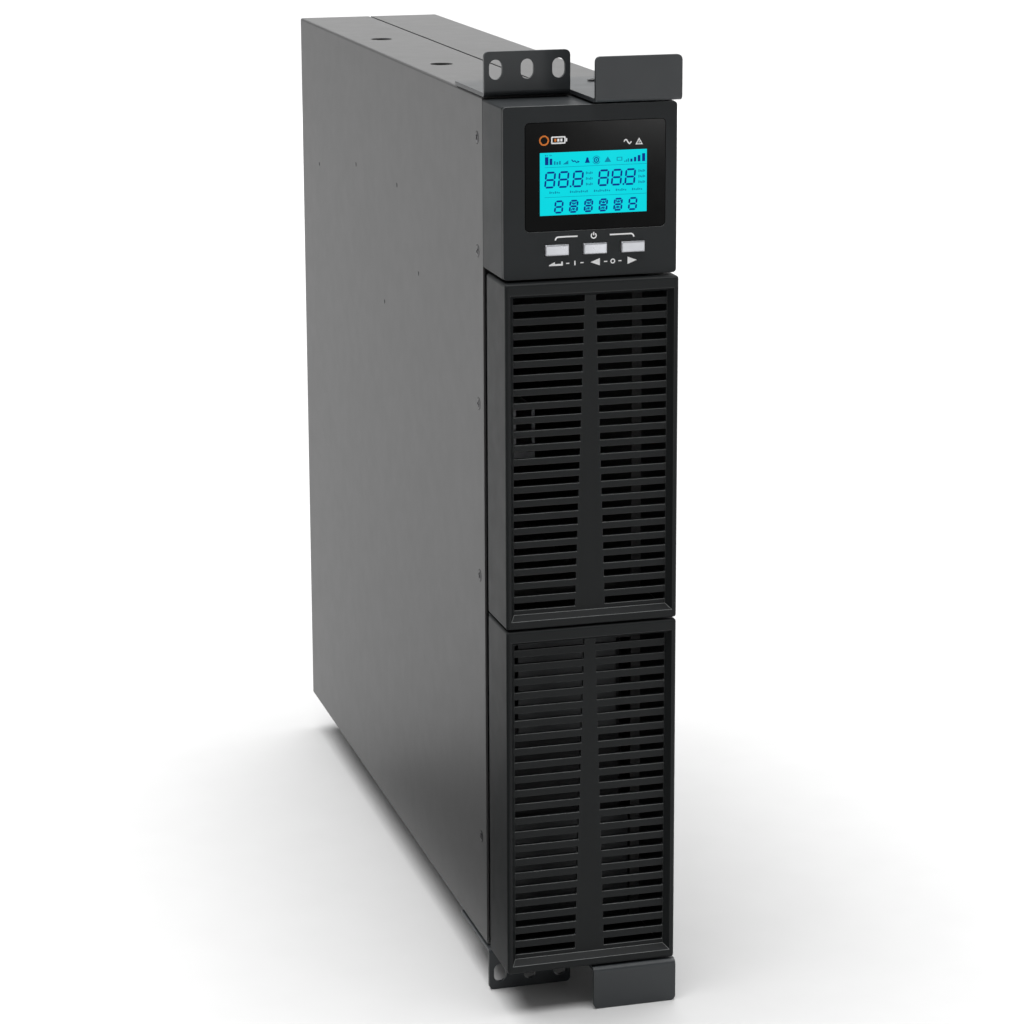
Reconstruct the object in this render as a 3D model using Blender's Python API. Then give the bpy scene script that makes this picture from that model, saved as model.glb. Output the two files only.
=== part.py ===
"""Rack or tower uninterruptible power supply, two rack units, standing as a tower.

Metres, +Z up, front faces -Y. The origin is the centre of the model's box in X
and Y, at the height of the lower rack bracket's bottom edge. Heights called h
are above the chassis bottom, depths called d are behind the chassis front edge.
"""
from math import cos, pi, radians, sin

import bmesh
import bpy
from mathutils import Matrix, Vector

# ---- driving dimensions -------------------------------------------------
BODY_HEIGHT = 0.438         # chassis, bottom to top when standing
EAR = 0.0223                # each rack ear beyond it, 482.6 mm over both
BODY_WIDTH = 0.087          # chassis, across X
BODY_DEPTH = 0.436          # chassis, front edge to rear face
SHEET = 0.0012              # chassis steel
GAP = 0.0003                # between pieces that touch
SEAM_X = 0.0005             # where the two chassis shells meet
SEAM_GAP = 0.0014
HOLE_RADIUS = 0.006         # round holes in the narrow faces
HOLE_X = -0.0255
HOLE_DEPTHS = (0.151, 0.292)
PAST = 0.010                # cutters run this far past what they cut

# front pieces: a square display module above two louvred covers
DISPLAY_HEIGHT = 0.085
COVER_ABOVE_BAY = 0.019     # the lower cover hides the battery bay's mouth
FRONT_GAP = 0.0008          # between neighbours on the front
DISPLAY_REACH = 0.038       # ahead of the chassis front edge
DISPLAY_WALL = 0.002
FACE_PLATE = 0.0024
FACE_CORNER = 0.0018
CUP_CORNER = 0.0012
CABLE_HOLE = (0.024, 0.012)
COVER_REACH = 0.042
COVER_BACK = 0.008          # the covers' outer wall ends this far ahead of the edge
COVER_WIDTH = 0.0876
COVER_WALL = 0.0022
COVER_EDGE = 0.0014
SKIRT_OVERLAP = 0.004
SKIRT_INSET = 0.0022
RECESS_DEPTH = 0.004
RECESS_SLOPE = 0.0026
GRILLE_THICK = 0.0025
FRAME_SIDE = 0.0022         # cover border beside, below and above the recess
FRAME_BELOW = 0.004
FRAME_ABOVE = 0.0055
LOUVRE_ROWS = 23
LOUVRE_OPEN = 0.0036
LOUVRE_END = 0.0388         # outer end of each louvre from the centre
LOUVRE_ABOVE = 0.009        # first row below the cover's top
LOUVRE_BELOW = 0.0107       # last row above the cover's bottom
BAR_TOP = 0.0028            # half width of the tapering centre bar
BAR_BOTTOM = 0.0076

# display face
WINDOW_LOW = (-0.0325, 0.0240)      # X, and height above the module's bottom
WINDOW_SIZE = (0.070, 0.052)
WINDOW_THICK = 0.0016
WINDOW_LIP = 0.0015
WINDOW_CORNER = 0.0020
SCREEN_INSET = 0.004                # inside the window on every side
SCREEN_THICK = 0.0037
BOARD_BEHIND = 0.0075               # display board behind the face plate
BOARD_INSET = 0.005
BUTTON_SIZE = (0.0118, 0.0053)
BUTTON_PITCH = 0.0191
BUTTON_HEIGHT = 0.0146              # above the module's bottom
BUTTON_CENTRE_X = 0.0021
BUTTON_PROUD = 0.0016
BUTTON_FLANGE = 0.001
BUTTON_EDGE = 0.0007
STEM = (0.0016, 0.0059)             # radius, reach behind the face plate
SPIGOT = 0.056                      # square register behind the display module
SPIGOT_REACH = 0.004

# rack brackets
BRACKET_WIDTH = 0.088
BRACKET_SHEET = 0.002
BRACKET_BACK = 0.050
EAR_REACH = 0.006
PLATE_AHEAD = 0.002                 # handle plate ahead of the covers
BRACKET_SPLIT = 0.0006              # half of the gap between ear and tongue
BEND = 0.0028
CORNER = 0.0025
SLOT_SIZE = (0.0066, 0.0097)
SLOT_PITCH = 0.015875
SLOT_EDGE = 0.00875                 # ear's outer edge to the slots' centres
BRACKET_SCREW_DEPTH = 0.030
BRACKET_SCREW_X = 0.022
BEND_STEPS = 6
SLIT_END = 0.004                    # the slit between ear and tongue ends here

# screws
SCREW_HEAD = 0.0029
SCREW_HEAD_THICK = 0.0007
SCREW_PROUD = 0.0003
SCREW_SHANK = 0.0014
SCREW_LENGTH = 0.0050
SIDE_SCREW_DEPTH = 0.010
SIDE_SCREWS_UP = (0.0556, 0.1948)           # from the chassis bottom
SIDE_SCREWS_DOWN = (0.1545, 0.0773, 0.0210) # from the chassis top

# front bulkhead
BULKHEAD_SETBACK = 0.003
BULKHEAD_FLANGE = 0.015
VENT_ABOVE_BAY = 0.030
VENT_BELOW_DISPLAY = 0.012

# batteries
BATTERY = (0.065, 0.094, 0.151)     # X, depth, height
BATTERY_COUNT = 3
BATTERY_SPACING = 0.0075            # holds each battery's terminals
TRAY_SHEET = 0.001
TRAY_WALL = 0.060
BATTERY_START = 0.012
RETAINER = (0.052, 0.0012, 0.060)
RETAINER_TOP = 0.0085               # plate top above the bay mouth
MOUTH_LIP = 0.003                   # bulkhead left below the bay divider
RETAINER_CORNER = 0.003
RETAINER_HOLE = (0.0208, 0.006)     # X of each screw, and below the top edge
TAB = (0.0008, 0.0055, 0.0064)      # battery terminal
TAB_X = -0.022
TAB_EDGE = 0.012                    # from the battery's top and bottom
CASE_EDGE = 0.0015
BAY_SPARE = 0.004                   # behind the last battery
BAY_HEADROOM = 0.006                # above the batteries
LEAD_SLOT = (0.008, 0.020)          # X, depth
LEAD_SLOT_EDGE = (0.006, 0.010)     # from the wall and from the divider's rear

# electronics
BOARD_THICK = 0.0016
BOARD_STANDOFF = 0.006
REAR_CLEAR = 0.045                  # board end to the rear face
BOARD_EDGE = 0.006                  # clear round the board
POST_RADIUS = 0.003
POST_INSET = 0.010
CAPACITOR_RADIUS = 0.0125
CAPACITOR_LENGTH = 0.035
CAPACITOR_PLACES = ((0.046, 0.207), (0.084, 0.207))  # from the board's front and bottom
HEATSINK = (0.055, 0.165, 0.030)    # X, depth, height
HEATSINK_DEPTH = 0.110
HEATSINK_HEIGHTS = (0.191, 0.053)
FIN = 0.0018
FIN_COUNT = 5
FIN_ROOT = 0.005
CHOKE = (0.0155, 0.0070)            # ring and winding radius
CHOKE_PLACE = (0.052, 0.080)
CORE = (0.030, 0.056, 0.048)
CORE_WINDOW = (0.012, 0.030)        # depth, height
CORE_LIMB = 0.014                   # window centres from the middle
WINDING = (0.014, 0.036, 0.026)
TRANSFORMER_PLACE = (0.228, 0.133)

# rear
FAN_SIZE = 0.080
FAN_THICK = 0.025
FAN_BORE = 0.038
FAN_HUB = 0.017
FAN_TIP = 0.036
FAN_BLADES = 7
FAN_PITCH = 0.086
FAN_MARGIN = 0.050                  # upper fan's centre below the chassis top
FAN_CORNER = 0.005
STRUT = (0.004, 0.0025)             # width, depth
HUB_PLATE = 0.0028
ROTOR_FRONT = 0.0045                # behind the frame's front
ROTOR_BACK = 0.002
BLADE = (0.0016, 0.020)             # thickness, chord
BLADE_ROOT = 0.003                  # into the hub
BLADE_PITCH = 52.0
GUARD_REACH = 0.004                 # furthest point behind the chassis
GUARD_WIRE = 0.0016
GUARD_RADII = (0.0140, 0.0264, 0.0388)
GUARD_BAR = 0.0496                  # half length of each crossed bar
REAR_FLANGE = 0.012
OUTLET_ROWS = 3
OUTLET_PITCH = 0.027
OUTLET_COLUMN = 0.020
OUTLET_PLATE = 0.0018
OUTLET_BODY = 0.026
SOCKET = (0.0244, 0.0168)
SOCKET_CORE = (0.0190, 0.0116)
SOCKET_DEEP = 0.014
SOCKET_RIM = 0.005                  # body around a socket, both sides together
OUTLET_TRIM = 0.0035                # body shorter than whole pitches
PINS = ((-0.007, -0.0015), (0.0, 0.0020), (0.007, -0.0015))
PIN = (0.0024, 0.0048)
BLADES = (0.0020, 0.0040)

# rear rows, as heights above the chassis bottom
BATTERY_ROW = 0.028
POWER_ROW = 0.070
OUTLET_ROW = 0.1405
PORT_ROW = 0.1975
CARD_ROW = 0.2330
REAR_EDGE = 0.001                   # bevel of the rear pieces' flanges
BREAKER_X = -0.027
BREAKER_NECK = 0.0065
BREAKER_BORE = 0.0042
BREAKER_COLLAR = (0.0095, 0.0022)   # radius, proud
BREAKER_CASE = (0.020, 0.0218, 0.024)
BREAKER_KEY = (0.0038, 0.0037)      # radius, proud
BREAKER_DEEP = 0.008                # bore behind the panel's face
BREAKER_TRAVEL = 0.0031             # bore left behind the button
INLET_X = 0.013
INLET_BODY = (0.0272, 0.0200)
INLET_FLANGE = (0.048, 0.024)
INLET_DEEP, INLET_PROUD = 0.024, 0.0025
INLET_RECESS = 0.016
BATTERY_PORT = (0.036, 0.018)
BATTERY_PORT_FLANGE = (0.050, 0.022)
POLE_X = 0.0085
POLE = (0.0124, 0.0120)
SERIAL_X, SERIAL_BODY = -0.020, (0.0176, 0.0094)
SERIAL_FLANGE, SERIAL_RECESS = (0.0300, 0.0120), (0.0150, 0.0070)
USB_X, USB_BODY = 0.010, (0.0122, 0.0110)
USB_FLANGE, USB_RECESS = (0.0140, 0.0128), (0.0084, 0.0076)
CARD_BODY = (0.066, 0.026)
CARD_FLANGE = (0.078, 0.030)
SERIAL_DEPTH, SERIAL_CUT = (0.012, 0.0015), 0.006     # behind the panel and proud of it; recess
USB_DEPTH, USB_CUT = (0.016, 0.0012), 0.009
BATTERY_PORT_DEPTH, POLE_CUT = (0.022, 0.0025), 0.014
CARD_DEPTH = (0.002, 0.0013)

# ---- worked out ---------------------------------------------------------
PLATE_REACH = COVER_REACH + PLATE_AHEAD
SIDE_SCREW_HEIGHTS = SIDE_SCREWS_UP + tuple(BODY_HEIGHT - down for down in SIDE_SCREWS_DOWN)
FRONT_Y = (PLATE_REACH - BODY_DEPTH - GUARD_REACH) / 2
HALF_BODY = BODY_WIDTH / 2
INSIDE = HALF_BODY - SHEET - GAP
DISPLAY_BOTTOM = BODY_HEIGHT - DISPLAY_HEIGHT
BATTERY_PITCH = BATTERY[1] + BATTERY_SPACING
BATTERY_END = BATTERY_START + BATTERY_COUNT * BATTERY_PITCH
BAY_LENGTH = BATTERY_END + BAY_SPARE
TRAY_FLOOR = SHEET + 2 * GAP + SHEET
BAY_HEIGHT = TRAY_FLOOR + TRAY_SHEET + BATTERY[2] + BAY_HEADROOM
MID_BOTTOM = BAY_HEIGHT + COVER_ABOVE_BAY


def y(depth):
    """World Y of a depth behind the chassis front edge."""
    return FRONT_Y + depth


def z(height):
    """World Z of a height above the chassis bottom."""
    return EAR + height


# ---- scene and helpers --------------------------------------------------
for old in list(bpy.data.objects):
    bpy.data.objects.remove(old, do_unlink=True)

PARTS = bpy.data.collections.new("uninterruptible_power_supply")
CUTTERS = bpy.data.collections.new("cutters")
for group in (PARTS, CUTTERS):
    bpy.context.scene.collection.children.link(group)


def material(name, colour, roughness, metallic=0.0):
    """A plain Principled material."""
    made = bpy.data.materials.new(name)
    made.use_nodes = True
    shader = made.node_tree.nodes["Principled BSDF"]
    shader.inputs["Base Color"].default_value = (*colour, 1.0)
    shader.inputs["Roughness"].default_value = roughness
    shader.inputs["Metallic"].default_value = metallic
    return made


CHASSIS = material("chassis_paint", (0.11, 0.11, 0.11), 0.5, 0.2)
BRACKET = material("bracket_paint", (0.035, 0.036, 0.038), 0.45, 0.2)
PLASTIC = material("black_plastic", (0.025, 0.026, 0.028), 0.5)
GLOSS = material("window_gloss", (0.01, 0.01, 0.012), 0.08)
SILVER = material("button_silver", (0.72, 0.72, 0.74), 0.3, 0.6)
SCREEN = material("screen", (0.0, 0.75, 0.8), 0.3)
STEEL = material("zinc_steel", (0.5, 0.5, 0.52), 0.35, 0.9)
BOARD = material("board_green", (0.02, 0.16, 0.06), 0.5)
ALUMINIUM = material("heatsink_aluminium", (0.6, 0.6, 0.62), 0.4, 0.9)
COPPER = material("winding_copper", (0.6, 0.25, 0.08), 0.35, 0.8)
CASE = material("battery_case", (0.06, 0.06, 0.065), 0.6)
SLEEVE = material("capacitor_sleeve", (0.03, 0.05, 0.12), 0.4)


def new_object(name, mesh, paint=None, place=(0.0, 0.0, 0.0)):
    """A part when it has a material, otherwise a hidden cutter."""
    made = bpy.data.objects.new(name, mesh)
    made.location = place
    if paint:
        mesh.materials.append(paint)
        PARTS.objects.link(made)
    else:
        CUTTERS.objects.link(made)
        made.hide_render = True
        made.display_type = "WIRE"
    return made


def mesh_from(name, shape):
    """A mesh from a bmesh, which is freed."""
    mesh = bpy.data.meshes.new(name)
    shape.to_mesh(mesh)
    shape.free()
    return mesh


def box(name, low, high, paint=None):
    """A box between two corners, with its origin at its centre."""
    low, high = Vector(low), Vector(high)
    shape = bmesh.new()
    bmesh.ops.create_cube(shape, size=1.0)
    bmesh.ops.scale(shape, vec=high - low, verts=shape.verts)
    return new_object(name, mesh_from(name, shape), paint, (low + high) / 2)


def cylinder(name, centre, axis, radius, length, paint=None, sides=24):
    """A cylinder about an axis through its centre."""
    shape = bmesh.new()
    turn = Vector((0, 0, 1)).rotation_difference(Vector(axis)).to_matrix()
    bmesh.ops.create_cone(shape, cap_ends=True, segments=sides, radius1=radius, radius2=radius,
                          depth=length, matrix=turn.to_4x4())
    return new_object(name, mesh_from(name, shape), paint, centre)


def tapered(name, low, high, inset):
    """A box cutter whose +Y face is inset on all four sides."""
    made = box(name, low, high)
    half_x = (high[0] - low[0]) / 2
    half_z = (high[2] - low[2]) / 2
    for corner in made.data.vertices:
        if corner.co.y > 0:
            corner.co.x *= (half_x - inset) / half_x
            corner.co.z *= (half_z - inset) / half_z
    return made


def merged(name, pieces, paint=None):
    """One object from several separate closed pieces."""
    shape = bmesh.new()
    for piece in pieces:
        copy = piece.data.copy()
        copy.transform(Matrix.LocRotScale(piece.location, piece.rotation_euler, piece.scale))
        shape.from_mesh(copy)
        bpy.data.meshes.remove(copy)
        bpy.data.objects.remove(piece, do_unlink=True)
    return new_object(name, mesh_from(name, shape), paint)


def boolean(target, tool, kind):
    """A Boolean modifier with the exact solver."""
    step = target.modifiers.new(kind.lower(), "BOOLEAN")
    step.solver = "EXACT"
    step.operation = kind
    step.object = tool
    return target


def cut(target, *tools):
    """Remove tools from a target."""
    for tool in tools:
        boolean(target, tool, "DIFFERENCE")
    return target


def fuse(target, *tools):
    """Join overlapping tools to a target."""
    for tool in tools:
        boolean(target, tool, "UNION")
    return target


def outline(name, points, thickness, across, paint=None, place=(0.0, 0.0, 0.0)):
    """A flat outline given in a plane, made a plate `thickness` deep along `across`.

    Across "X" takes (Y, Z) points and "Y" takes (X, Z) points.
    """
    curve = bpy.data.curves.new(name, "CURVE")
    curve.dimensions = "2D"
    curve.fill_mode = "BOTH"
    curve.extrude = thickness / 2
    line = curve.splines.new("POLY")
    line.points.add(len(points) - 1)
    for knot, point in zip(line.points, points):
        knot.co = (point[0], point[1], 0.0, 1.0)
    line.use_cyclic_u = True
    drawn = bpy.data.objects.new(name + "_outline", curve)
    CUTTERS.objects.link(drawn)
    bpy.context.view_layer.update()
    evaluated = drawn.evaluated_get(bpy.context.evaluated_depsgraph_get())
    mesh = bpy.data.meshes.new_from_object(evaluated)
    bpy.data.objects.remove(drawn, do_unlink=True)
    if across == "X":
        mesh.transform(Matrix(((0, 0, 1, 0), (1, 0, 0, 0), (0, 1, 0, 0), (0, 0, 0, 1))))
    else:
        mesh.transform(Matrix(((1, 0, 0, 0), (0, 0, -1, 0), (0, 1, 0, 0), (0, 0, 0, 1))))
    shape = bmesh.new()
    shape.from_mesh(mesh)
    bmesh.ops.remove_doubles(shape, verts=shape.verts, dist=0.00001)
    bmesh.ops.recalc_face_normals(shape, faces=shape.faces)
    bpy.data.meshes.remove(mesh)
    return new_object(name, mesh_from(name, shape), paint, place)


def arc(centre, radius, start, end, steps=5):
    """Points along an arc in a plane, angles in degrees."""
    angles = [radians(start + (end - start) * step / steps) for step in range(steps + 1)]
    return [(centre[0] + radius * cos(a), centre[1] + radius * sin(a)) for a in angles]


def rounded(low, high, radius, steps=4):
    """A rounded rectangle's points, anticlockwise."""
    left, bottom = low[0] + radius, low[1] + radius
    right, top = high[0] - radius, high[1] - radius
    return (arc((right, bottom), radius, -90, 0, steps) + arc((right, top), radius, 0, 90, steps)
            + arc((left, top), radius, 90, 180, steps) + arc((left, bottom), radius, 180, 270, steps))


def soften(target, width, pick, segments=2):
    """Bevel the edges of a plain mesh that `pick(middle, direction)` chooses."""
    shape = bmesh.new()
    shape.from_mesh(target.data)
    chosen = []
    for edge in shape.edges:
        first, second = (corner.co + target.location for corner in edge.verts)
        if pick((first + second) / 2, (second - first).normalized()):
            chosen.append(edge)
    bmesh.ops.bevel(shape, geom=chosen, offset=width, segments=segments, profile=0.5,
                    affect="EDGES", clamp_overlap=True)
    shape.to_mesh(target.data)
    shape.free()
    return target


def smooth_round(target):
    """Smooth shading that keeps hard edges."""
    target.data.shade_smooth()
    target.data.set_sharp_from_angle(angle=radians(35))
    return target


def carrier(name, place):
    """An empty on a joint's axis."""
    made = bpy.data.objects.new(name, None)
    made.location = place
    made.empty_display_size = 0.02
    PARTS.objects.link(made)
    return made


def hang(parent, *children):
    """Parent pieces to an empty without moving them."""
    for child in children:
        child.location = child.location - parent.location
        child.parent = parent


# ---- chassis ------------------------------------------------------------
def chassis_shell(name, side):
    """Half of the chassis: one wide wall with the two narrow walls' halves."""
    if side < 0:
        low_x, high_x = -HALF_BODY, SEAM_X - SEAM_GAP / 2
        inner_low, inner_high = -HALF_BODY + SHEET, HALF_BODY
    else:
        low_x, high_x = SEAM_X + SEAM_GAP / 2, HALF_BODY
        inner_low, inner_high = -HALF_BODY, HALF_BODY - SHEET
    shell = box(name, (low_x, y(0), z(0)), (high_x, y(BODY_DEPTH), z(BODY_HEIGHT)), CHASSIS)
    soften(shell, SHEET, lambda middle, way: abs(way.y) > 0.9 and middle.x * side > HALF_BODY / 2, 3)
    inside = box(name + "_inside", (inner_low, y(-PAST), z(SHEET)),
                 (inner_high, y(BODY_DEPTH + PAST), z(BODY_HEIGHT - SHEET)))
    sinks, bores = [], []
    for height in SIDE_SCREW_HEIGHTS:
        wall = side * HALF_BODY
        sinks.append(cylinder("sink", (wall, y(SIDE_SCREW_DEPTH), z(height)), (1, 0, 0),
                              SCREW_HEAD + GAP, 2 * (SCREW_HEAD_THICK - SCREW_PROUD + GAP / 2), sides=20))
        bores.append(cylinder("bore", (wall - side * SHEET, y(SIDE_SCREW_DEPTH), z(height)), (1, 0, 0),
                              SCREW_SHANK + GAP, 3 * SHEET, sides=16))
    cut(shell, inside, merged(name + "_sinks", sinks), merged(name + "_bores", bores))
    middle = z(BODY_HEIGHT / 2)
    through = [cylinder("bolt", (side * BRACKET_SCREW_X, y(BRACKET_SCREW_DEPTH), middle), (0, 0, 1),
                        SCREW_SHANK + GAP, BODY_HEIGHT + PAST, sides=16)]
    if side < 0:
        through += [cylinder("round", (HOLE_X, y(d), middle), (0, 0, 1), HOLE_RADIUS,
                             BODY_HEIGHT + PAST, sides=32) for d in HOLE_DEPTHS]
    return cut(shell, merged(name + "_through", through))


def screw(name, head_face, outward):
    """A low round-headed screw whose head's outer face is at a point."""
    outward = Vector(outward)
    face = Vector(head_face)
    head = cylinder(name, face - outward * SCREW_HEAD_THICK / 2, outward, SCREW_HEAD,
                    SCREW_HEAD_THICK, STEEL, sides=20)
    shank = cylinder(name + "_shank", face - outward * (SCREW_LENGTH / 2 + SCREW_HEAD_THICK / 2),
                     outward, SCREW_SHANK, SCREW_LENGTH, sides=16)
    return fuse(head, shank)


def side_screws():
    """Screws along each wide wall's front edge."""
    for side, word in ((-1, "left"), (1, "right")):
        for number, height in enumerate(SIDE_SCREW_HEIGHTS, 1):
            screw(f"side_screw_{word}_{number}",
                  (side * (HALF_BODY + SCREW_PROUD), y(SIDE_SCREW_DEPTH), z(height)), (side, 0, 0))


def bulkhead():
    """Steel frame behind the front pieces, with its openings."""
    low, high = SHEET + GAP, BODY_HEIGHT - SHEET - GAP
    frame = box("front_frame", (-INSIDE, y(BULKHEAD_SETBACK), z(low)),
                (INSIDE, y(BULKHEAD_SETBACK + BULKHEAD_FLANGE), z(high)), CHASSIS)
    inside = box("frame_inside", (-INSIDE + SHEET, y(BULKHEAD_SETBACK + SHEET), z(low + SHEET)),
                 (INSIDE - SHEET, y(BULKHEAD_SETBACK + BULKHEAD_FLANGE + PAST), z(high - SHEET)))
    middle = DISPLAY_BOTTOM + DISPLAY_HEIGHT / 2
    register = SPIGOT / 2 + 2 * GAP
    tray = BATTERY[0] / 2 + TRAY_SHEET + 3 * GAP
    windows = [box("window", (-wide, y(-PAST), z(bottom)), (wide, y(PAST), z(top)))
               for wide, bottom, top in (
                   (register, middle - register, middle + register),
                   (tray, BAY_HEIGHT + VENT_ABOVE_BAY, DISPLAY_BOTTOM - VENT_BELOW_DISPLAY),
                   (tray, TRAY_FLOOR - GAP, BAY_HEIGHT - MOUTH_LIP))]
    bores = [cylinder("bore", (side * INSIDE, y(SIDE_SCREW_DEPTH), z(height)), (1, 0, 0),
                      SCREW_SHANK + GAP, PAST, sides=16)
             for side in (-1, 1) for height in SIDE_SCREW_HEIGHTS]
    return cut(frame, inside, merged("frame_windows", windows), merged("frame_bores", bores))


def rear_panel():
    """Rear sheet with its cut-outs."""
    low, high = SHEET + GAP, BODY_HEIGHT - SHEET - GAP
    panel = box("rear_panel", (-INSIDE, y(BODY_DEPTH - REAR_FLANGE), z(low)),
                (INSIDE, y(BODY_DEPTH), z(high)), CHASSIS)
    inside = box("rear_inside", (-INSIDE + SHEET, y(BODY_DEPTH - REAR_FLANGE - PAST), z(low + SHEET)),
                 (INSIDE - SHEET, y(BODY_DEPTH - SHEET), z(high - SHEET)))
    round_cuts = [cylinder("fan_cut", (0, y(BODY_DEPTH), z(h)), (0, 1, 0), FAN_BORE, PAST, sides=40)
                  for h in fan_heights()]
    round_cuts.append(cylinder("breaker_cut", (BREAKER_X, y(BODY_DEPTH), z(POWER_ROW)), (0, 1, 0),
                               BREAKER_NECK + GAP, PAST, sides=24))
    square_cuts = [rear_cut(x, h, size) for x, h, size in rear_openings()]
    return cut(panel, inside, merged("rear_round", round_cuts), merged("rear_square", square_cuts))


def fan_heights():
    """Heights of the two fan centres."""
    upper = BODY_HEIGHT - FAN_MARGIN
    return (upper, upper - FAN_PITCH)


def outlet_body_size():
    """Width and height of one block of outlets behind the panel."""
    return (SOCKET[0] + SOCKET_RIM, OUTLET_ROWS * OUTLET_PITCH - OUTLET_TRIM)


def rear_openings():
    """X, height and size of every square opening in the rear panel."""
    return [
        (-OUTLET_COLUMN, OUTLET_ROW, outlet_body_size()),
        (OUTLET_COLUMN, OUTLET_ROW, outlet_body_size()),
        (INLET_X, POWER_ROW, INLET_BODY),
        (0.0, BATTERY_ROW, BATTERY_PORT),
        (SERIAL_X, PORT_ROW, SERIAL_BODY),
        (USB_X, PORT_ROW, USB_BODY),
        (0.0, CARD_ROW, CARD_BODY),
    ]


def rear_cut(x, height, size):
    """A square opening a running clearance larger than the body that fills it."""
    wide, tall = size[0] / 2 + GAP, size[1] / 2 + GAP
    return box("opening", (x - wide, y(BODY_DEPTH - SHEET - GAP), z(height - tall)),
               (x + wide, y(BODY_DEPTH + PAST), z(height + tall)))


def bay_divider():
    """Sheet over and behind the battery bay."""
    start = BULKHEAD_SETBACK + BULKHEAD_FLANGE + GAP
    sheet = box("bay_divider", (-INSIDE, y(start), z(SHEET + 2 * GAP)),
                (INSIDE, y(BAY_LENGTH + SHEET), z(BAY_HEIGHT + SHEET)), STEEL)
    under = box("bay_space", (-BODY_WIDTH, y(0), z(-PAST)), (BODY_WIDTH, y(BAY_LENGTH), z(BAY_HEIGHT)))
    right, rear = INSIDE - LEAD_SLOT_EDGE[0], BAY_LENGTH - LEAD_SLOT_EDGE[1]
    slot = box("lead_slot", (right - LEAD_SLOT[0], y(rear - LEAD_SLOT[1]), z(BAY_HEIGHT - PAST)),
               (right, y(rear), z(BAY_HEIGHT + PAST)))
    return cut(sheet, under, slot)


# ---- display module -----------------------------------------------------
def button_places():
    """World X and Z of the three button centres."""
    height = z(DISPLAY_BOTTOM + BUTTON_HEIGHT)
    return [("button_enter", BUTTON_CENTRE_X - BUTTON_PITCH, height),
            ("button_left", BUTTON_CENTRE_X, height),
            ("button_right", BUTTON_CENTRE_X + BUTTON_PITCH, height)]


def display_module():
    """Pull-out display: cup, face plate, window, screen, board and buttons."""
    low, high = z(DISPLAY_BOTTOM + FRONT_GAP), z(BODY_HEIGHT - FRONT_GAP)
    face_back = -DISPLAY_REACH + FACE_PLATE
    middle = z(DISPLAY_BOTTOM + DISPLAY_HEIGHT / 2)
    centre = carrier("display_slide_axis", (0, y(-DISPLAY_REACH), middle))

    cup = box("display_housing", (-HALF_BODY, y(face_back + GAP), low), (HALF_BODY, y(-GAP), high), PLASTIC)
    soften(cup, CUP_CORNER, lambda mid, way: abs(way.y) > 0.9)
    register = box("display_register", (-SPIGOT / 2, y(-DISPLAY_WALL), middle - SPIGOT / 2),
                   (SPIGOT / 2, y(BULKHEAD_SETBACK + SPIGOT_REACH), middle + SPIGOT / 2))
    hollow = box("display_hollow", (-HALF_BODY + DISPLAY_WALL, y(face_back - PAST), low + DISPLAY_WALL),
                 (HALF_BODY - DISPLAY_WALL, y(-GAP - DISPLAY_WALL), high - DISPLAY_WALL))
    cable = box("display_cable_hole", (-CABLE_HOLE[0] / 2, y(-PAST), middle - CABLE_HOLE[1] / 2),
                (CABLE_HOLE[0] / 2, y(SPIGOT_REACH + PAST), middle + CABLE_HOLE[1] / 2))
    cut(fuse(cup, register), hollow, cable)

    face = outline("display_face", rounded((-HALF_BODY, low), (HALF_BODY, high), FACE_CORNER), FACE_PLATE, "Y",
                   PLASTIC, (0, y(-DISPLAY_REACH + FACE_PLATE / 2), 0))
    win_x, win_z = WINDOW_LOW[0], z(DISPLAY_BOTTOM + WINDOW_LOW[1])
    win_low, win_high = (win_x, win_z), (win_x + WINDOW_SIZE[0], win_z + WINDOW_SIZE[1])
    seat = outline("window_seat", rounded((win_low[0] - GAP, win_low[1] - GAP),
                                          (win_high[0] + GAP, win_high[1] + GAP), WINDOW_CORNER + GAP),
                   2 * (WINDOW_THICK + GAP), "Y", None, (0, y(-DISPLAY_REACH), 0))
    lip = WINDOW_LIP
    view = box("window_view", (win_low[0] + lip, y(-DISPLAY_REACH - PAST), win_low[1] + lip),
               (win_high[0] - lip, y(-DISPLAY_REACH + PAST), win_high[1] - lip))
    wide, tall = BUTTON_SIZE[0] / 2 + GAP, BUTTON_SIZE[1] / 2 + GAP
    keys = [box("key", (x - wide, y(-DISPLAY_REACH - PAST), h - tall),
                (x + wide, y(-DISPLAY_REACH + PAST), h + tall)) for _, x, h in button_places()]
    cut(face, seat, view, merged("button_cuts", keys))

    window = outline("display_window", rounded(win_low, win_high, WINDOW_CORNER), WINDOW_THICK, "Y", GLOSS,
                     (0, y(-DISPLAY_REACH + WINDOW_THICK / 2), 0))
    inset = SCREEN_INSET
    screen = box("lcd_panel", (win_low[0] + inset, y(face_back + GAP), win_low[1] + inset),
                 (win_high[0] - inset, y(face_back + GAP + SCREEN_THICK), win_high[1] - inset), SCREEN)
    board = box("display_board", (-HALF_BODY + BOARD_INSET, y(face_back + BOARD_BEHIND), low + BOARD_INSET),
                (HALF_BODY - BOARD_INSET, y(face_back + BOARD_BEHIND + BOARD_THICK), high - BOARD_INSET), BOARD)
    hang(centre, cup, face, window, screen, board)
    for name, x, height in button_places():
        key_axis = carrier(name + "_axis", (x, y(-DISPLAY_REACH), height))
        hang(key_axis, push_button(name, x, height))
        hang(centre, key_axis)


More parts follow.
